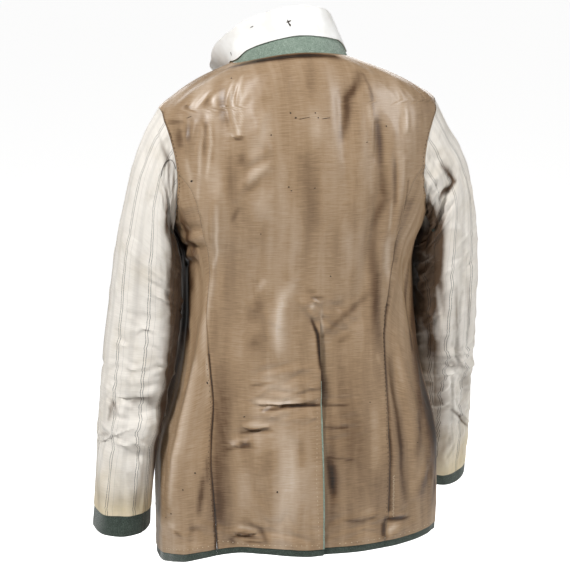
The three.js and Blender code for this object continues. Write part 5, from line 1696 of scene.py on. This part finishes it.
def make_button(index, metal):
    bpy.ops.object.select_all(action="DESELECT")
    bpy.ops.mesh.primitive_cylinder_add(vertices=40, radius=3 * MM, depth=1.4 * MM, location=(0, 0, 0.7 * MM))
    button = bpy.context.object
    button.name = button.data.name = f"coat_button_{index + 1}"
    bpy.ops.object.transform_apply(location=True)
    top_faces(button.data)
    bpy.ops.object.mode_set(mode="EDIT")
    bpy.ops.mesh.select_mode(type="FACE")
    bpy.ops.mesh.extrude_region_move(TRANSFORM_OT_translate={"value": (0, 0, 0.25 * MM)})
    bpy.ops.transform.resize(value=(BUTTON_RADIUS / 3,) * 2 + (1,), center_override=(0, 0, 0))
    bpy.ops.mesh.extrude_region_move(TRANSFORM_OT_translate={"value": (0, 0, 1.0 * MM)})
    for inset, rise in BUTTON_DOME:
        bpy.ops.mesh.inset(thickness=inset * MM)
        bpy.ops.transform.translate(value=(0, 0, rise * MM))
    bpy.ops.object.mode_set(mode="OBJECT")
    rim = button.modifiers.new("rim", "BEVEL")
    rim.width, rim.segments, rim.limit_method, rim.angle_limit = 0.25 * MM, 2, "ANGLE", math.radians(40)
    bpy.ops.object.modifier_apply(modifier="rim")
    bpy.ops.object.shade_smooth_by_angle(angle=math.radians(35))
    level = BUTTON_LEVELS[index]
    angle = front_edge(level) - length_angle(BUTTON_INSET, level)
    normal = body_normal(np.array(angle), np.array(float(level)))
    point = body_point(np.array(angle), np.array(float(level))) - normal * (WALL + BUTTON_GAP)
    turned = Vector(-normal).to_track_quat("Z", "Y").to_matrix().to_4x4()
    turned.translation = Vector(height_above_neck(point))
    button.data.transform(turned)
    button.data.materials.append(metal)
    return sew_in(button, [f"button_{index + 1}"])


button_metal = make_button_metal()
for index in range(len(BUTTON_LEVELS)):
    make_button(index, button_metal)

# %% [markdown]
# ## Hand stitches
# The lining was felled to the wool by hand, so short stitches show beside the seams, the vent and
# the hem, and frayed ones round the armholes and under the collar. Those under the collar are
# larger, and they also stand in for a painted shade under its edge. One bead of thread is modelled
# from a sphere, and a copy of it is laid at each stitch, along a path on the dressed body.

# %% Thread bead
STITCH_LIFT = 0.25
BEAD_HEIGHT = 0.7         # of a stitch, as a share of its width
PALE_STITCHES = [
    # path, spacing, length and width in mm, leans in degrees that repeat along the path
    ([(-1.2, 245), (0, 118), (-1, 14)], 6.5, 1.7, 0.9, (0,)),
    ([(41, 25), (27, 14), (11, 18), (-1, 18)], 6.0, 1.9, 0.9, (0, 8)),
    ([(-8, 17), (-29, 16)], 6.5, 1.9, 0.9, (0, -8)),
    ([(43, 18), (80, 16), (117, 16)], 7.5, 1.9, 0.9, (0, 10)),
    ([(120, 16), (170, 16)], 7.5, 1.9, 0.9, (0, 10)),
    ([(-31, 16), (-80, 16), (-117, 16)], 7.5, 1.9, 0.9, (0, 10)),
    ([(-120, 16), (-171, 16)], 7.5, 1.9, 0.9, (0, 10)),
    ([(-31.6, 110), (-31.4, 45)], 3.2, 4.4, 0.7, (52, -52)),
]
DARK_STITCHES = [
    ([(-37.6, 363), (-33.5, 267), (-29.4, 167), (-28.4, 40)], 6.5, 2.6, 0.9, (4, -6)),
    ([(53.4, 290), (47, 205), (42.6, 75), (41.4, 15)], 8.0, 2.2, 0.8, (5, -5)),
    # Under the collar: larger frayed stitches, which are also a painted shade line under its edge.
    ([(40, 708), (20, 707.5), (-5, 708), (-28, 709)], 3.4, 4.4, 1.5, (6, -14, 18, -8, 4)),
    ([(116.6, 470), (116.6, 300), (116.6, 20)], 8.0, 2.2, 0.8, (5, -5)),
    ([(-116.6, 470), (-116.6, 300), (-116.6, 20)], 8.0, 2.2, 0.8, (5, -5)),
]
# Pulled threads and small worn holes: angle, level, length and width in mm, lean in degrees.
MARKS = [
    (9, 639, 2.6, 2.2, 0), (3.5, 632, 18, 0.7, -8), (7, 633, 3, 2.4, 0), (-1, 638, 2.2, 1.6, 20),
    (-2, 632, 2.4, 1.8, 0), (-5, 631, 15, 0.7, -6), (17, 612, 2.2, 1.8, 0), (44, 688, 2.4, 1.8, 0),
    (11, 545, 2.4, 2.0, 0), (10, 540, 2, 1.6, 0), (-30, 618, 2.6, 1.8, 60), (54, 553, 4, 3.0, -30),
    (52, 259, 4, 2.2, 70), (52, 127, 3, 2.0, 0), (58, 102, 2.6, 1.8, 0), (16, 102, 2.2, 3.2, 0),
    (0, 542, 2, 1.6, 0), (55, 640, 9, 0.8, -20), (60, 655, 7, 0.8, -12), (-21, 598, 2, 1.4, 0),
    (24, 480, 2, 1.4, 0), (-8, 415, 2.2, 1.6, 0), (-24, 224, 2, 1.6, 0), (31, 214, 3, 1.6, -20),
    (66, 66, 2.4, 1.8, 0), (73, 58, 2.2, 1.6, 0), (-46, 150, 2, 1.6, 0), (140, 420, 2.6, 2, 0),
    (-138, 520, 2.4, 2, 0), (150, 230, 3, 1.2, 30), (-128, 160, 2.2, 1.6, 0), (96, 240, 2.4, 1.8, 0),
]

LINER_MARKS = [(15, 0.66, 12, 2.0, 78), (15, 0.7, 8, 2.0, -12), (13.6, 0.62, 3.5, 2.0, 40),
               (56, 0.8, 6, 1.2, -10), (88, 0.3, 6, 1.2, 84)]     # angle, rise, then as above


def make_thread(name, dark, pale):
    finish, tree, shader = new_finish(name, 0.7, specular=0.3)
    spot = place_in_object(tree)
    strands = noise_of(tree, spot, 900.0, 2.0)
    tree.links.new(ramp_of(tree, strands, [(0.3, dark), (0.7, pale)]), shader.inputs["Base Color"])
    bump_of(tree, shader, strands, 0.4, 0.0004)
    return finish


def make_bead():
    bpy.ops.object.select_all(action="DESELECT")
    bpy.ops.mesh.primitive_uv_sphere_add(segments=6, ring_count=4, radius=0.5, rotation=(0, math.pi / 2, 0))
    bpy.ops.object.transform_apply(rotation=True)
    bpy.ops.object.shade_smooth()
    return bpy.context.object


pale_thread = make_thread("pale_thread", srgb(176, 160, 134), srgb(222, 210, 188))
dark_thread = make_thread("dark_thread", srgb(30, 24, 20), srgb(66, 52, 42))
print("stitch paths:", len(PALE_STITCHES) + len(DARK_STITCHES), "marks:", len(MARKS))


# %% Laying stitches
def along_path(path, spacing):
    """Spots a spacing apart on a path of (angle, level): their angles, levels and leans."""
    angle, level = np.array(path, float).T
    x = np.radians(angle) * BODY_RADIUS
    length = np.concatenate([[0], np.cumsum(np.hypot(np.diff(x), np.diff(level)))])
    at = np.arange(spacing / 2, length[-1], spacing)
    lean = np.degrees(np.arctan2(np.diff(level), np.diff(x)))
    return (np.interp(at, length, angle), np.interp(at, length, level),
            lean[np.searchsorted(length, at) - 1])


def lay_beads(name, spots, finish):
    """Lays a bead at each spot: (point, direction along it, outward direction, length, width)."""
    bead = make_bead()
    pieces = []
    for point, ahead, outward, length, width in spots:
        up = Vector(outward).normalized()
        ahead = Vector(ahead)
        ahead = (ahead - up * ahead.dot(up)).normalized()
        sides = ahead * length * MM, up.cross(ahead) * width * MM, up * width * BEAD_HEIGHT * MM
        place = Matrix(sides).transposed().to_4x4()
        place.translation = Vector(height_above_neck(np.array(point)))
        piece = bpy.data.objects.new(name, bead.data.copy())
        piece.data.transform(place)
        bpy.context.scene.collection.objects.link(piece)
        pieces.append(piece)
    bpy.data.objects.remove(bead)
    joined = join_cloth(name, pieces, weld=0)
    joined.data.materials.append(finish)
    return sew_in(joined, [])


def bead_spots(surface, first, second, lean, length, width):
    """Bead spots on a surface, from arrays of its two coordinates and of leans in degrees."""
    first, second = np.array(first, float)[:, None], np.array(second, float)[:, None]
    point, normal = surface(first, second, STITCH_LIFT)
    beside = surface(first + 0.3, second, STITCH_LIFT)[0] - point
    spots = []
    for i in range(len(first)):
        round_way, outward = Vector(beside[i, 0]).normalized(), Vector(normal[i, 0])
        turn = math.radians(lean[i])
        ahead = round_way * math.cos(turn) + round_way.cross(outward) * math.sin(turn)
        spots.append((point[i, 0], ahead, outward, length[i], width[i]))
    return spots


def stitched(rows):
    spots = []
    for path, spacing, length, width, leans in rows:
        angle, level, lean = along_path(path, spacing)
        lean = lean + np.resize(leans, len(lean))
        sizes = np.full(len(lean), length), np.full(len(lean), width)
        spots += bead_spots(body_surface, angle, level, lean, *sizes)
    return spots


def armhole_row(side, inset, spacing, length, width, leans):
    """A path of stitches on the body round the back half of an armhole."""
    turns = np.linspace(0.25, 2.3, 40)
    angle, level = armhole_spot(side, turns)
    return list(zip(angle - SIDES[side] * inset, level)), spacing, length, width, leans


def liner_surface(angle, rise, out):
    return collar_surface(angle, rise, LINER_GAP + LINER_WALL + collar_waves(angle, rise) * 0.8 + out)


armhole_rows = [armhole_row(side, 1.4, 5.5, 3.4, 0.9, (18, -26, 6, 30, -12)) for side in SIDES]
lay_beads("pale_stitches", stitched(PALE_STITCHES), pale_thread)
lay_beads("dark_stitches", stitched(DARK_STITCHES + armhole_rows), dark_thread)
for name, slot, surface, rows in (("pulled_threads", "lining", body_surface, MARKS),
                                  ("liner_threads", "cotton", liner_surface, LINER_MARKS)):
    first, second, length, width, lean = np.array(rows, float).T
    lay_beads(name, bead_spots(surface, first, second, lean, length, width), dark_thread)

# %% [markdown]
# ## A loose thread
# At the left armhole a thread has come loose and curls on the sleeve. It is a curve with a round
# bevel, made a mesh.

# %% Loose thread
LOOSE_THREAD = [(70, 50), (68, 38), (69, 26), (73, 14), (79, 7), (86, 4)]      # turn in degrees, mm down
THREAD_RADIUS = 0.4


def make_loose_thread():
    turns, downs = np.array(LOOSE_THREAD, float).T
    steps = np.linspace(0, len(turns) - 1, 33)
    turns = np.radians(smooth_curve(range(len(turns)), turns)(steps))
    downs = smooth_curve(range(len(downs)), downs)(steps)
    curve = bpy.data.curves.new("loose_thread", "CURVE")
    curve.dimensions = "3D"
    curve.bevel_depth, curve.bevel_resolution, curve.use_fill_caps = THREAD_RADIUS * MM, 1, True
    spline = curve.splines.new("POLY")
    spline.points.add(len(steps) - 1)
    for spot, turn, down in zip(spline.points, turns, downs):
        point = sleeve_surface("left", np.array([turn]), np.array([down]), 0.5)[0][0, 0]
        spot.co = (*height_above_neck(point), 1)
    thread = bpy.data.objects.new("loose_thread", curve)
    bpy.context.scene.collection.objects.link(thread)
    select_only(thread)
    bpy.ops.object.convert(target="MESH")
    bpy.ops.object.shade_smooth()
    thread = bpy.context.object
    thread.data.materials.append(dark_thread)
    return sew_in(thread, [])


make_loose_thread()

# %% Nothing left selected
bpy.ops.object.select_all(action="DESELECT")
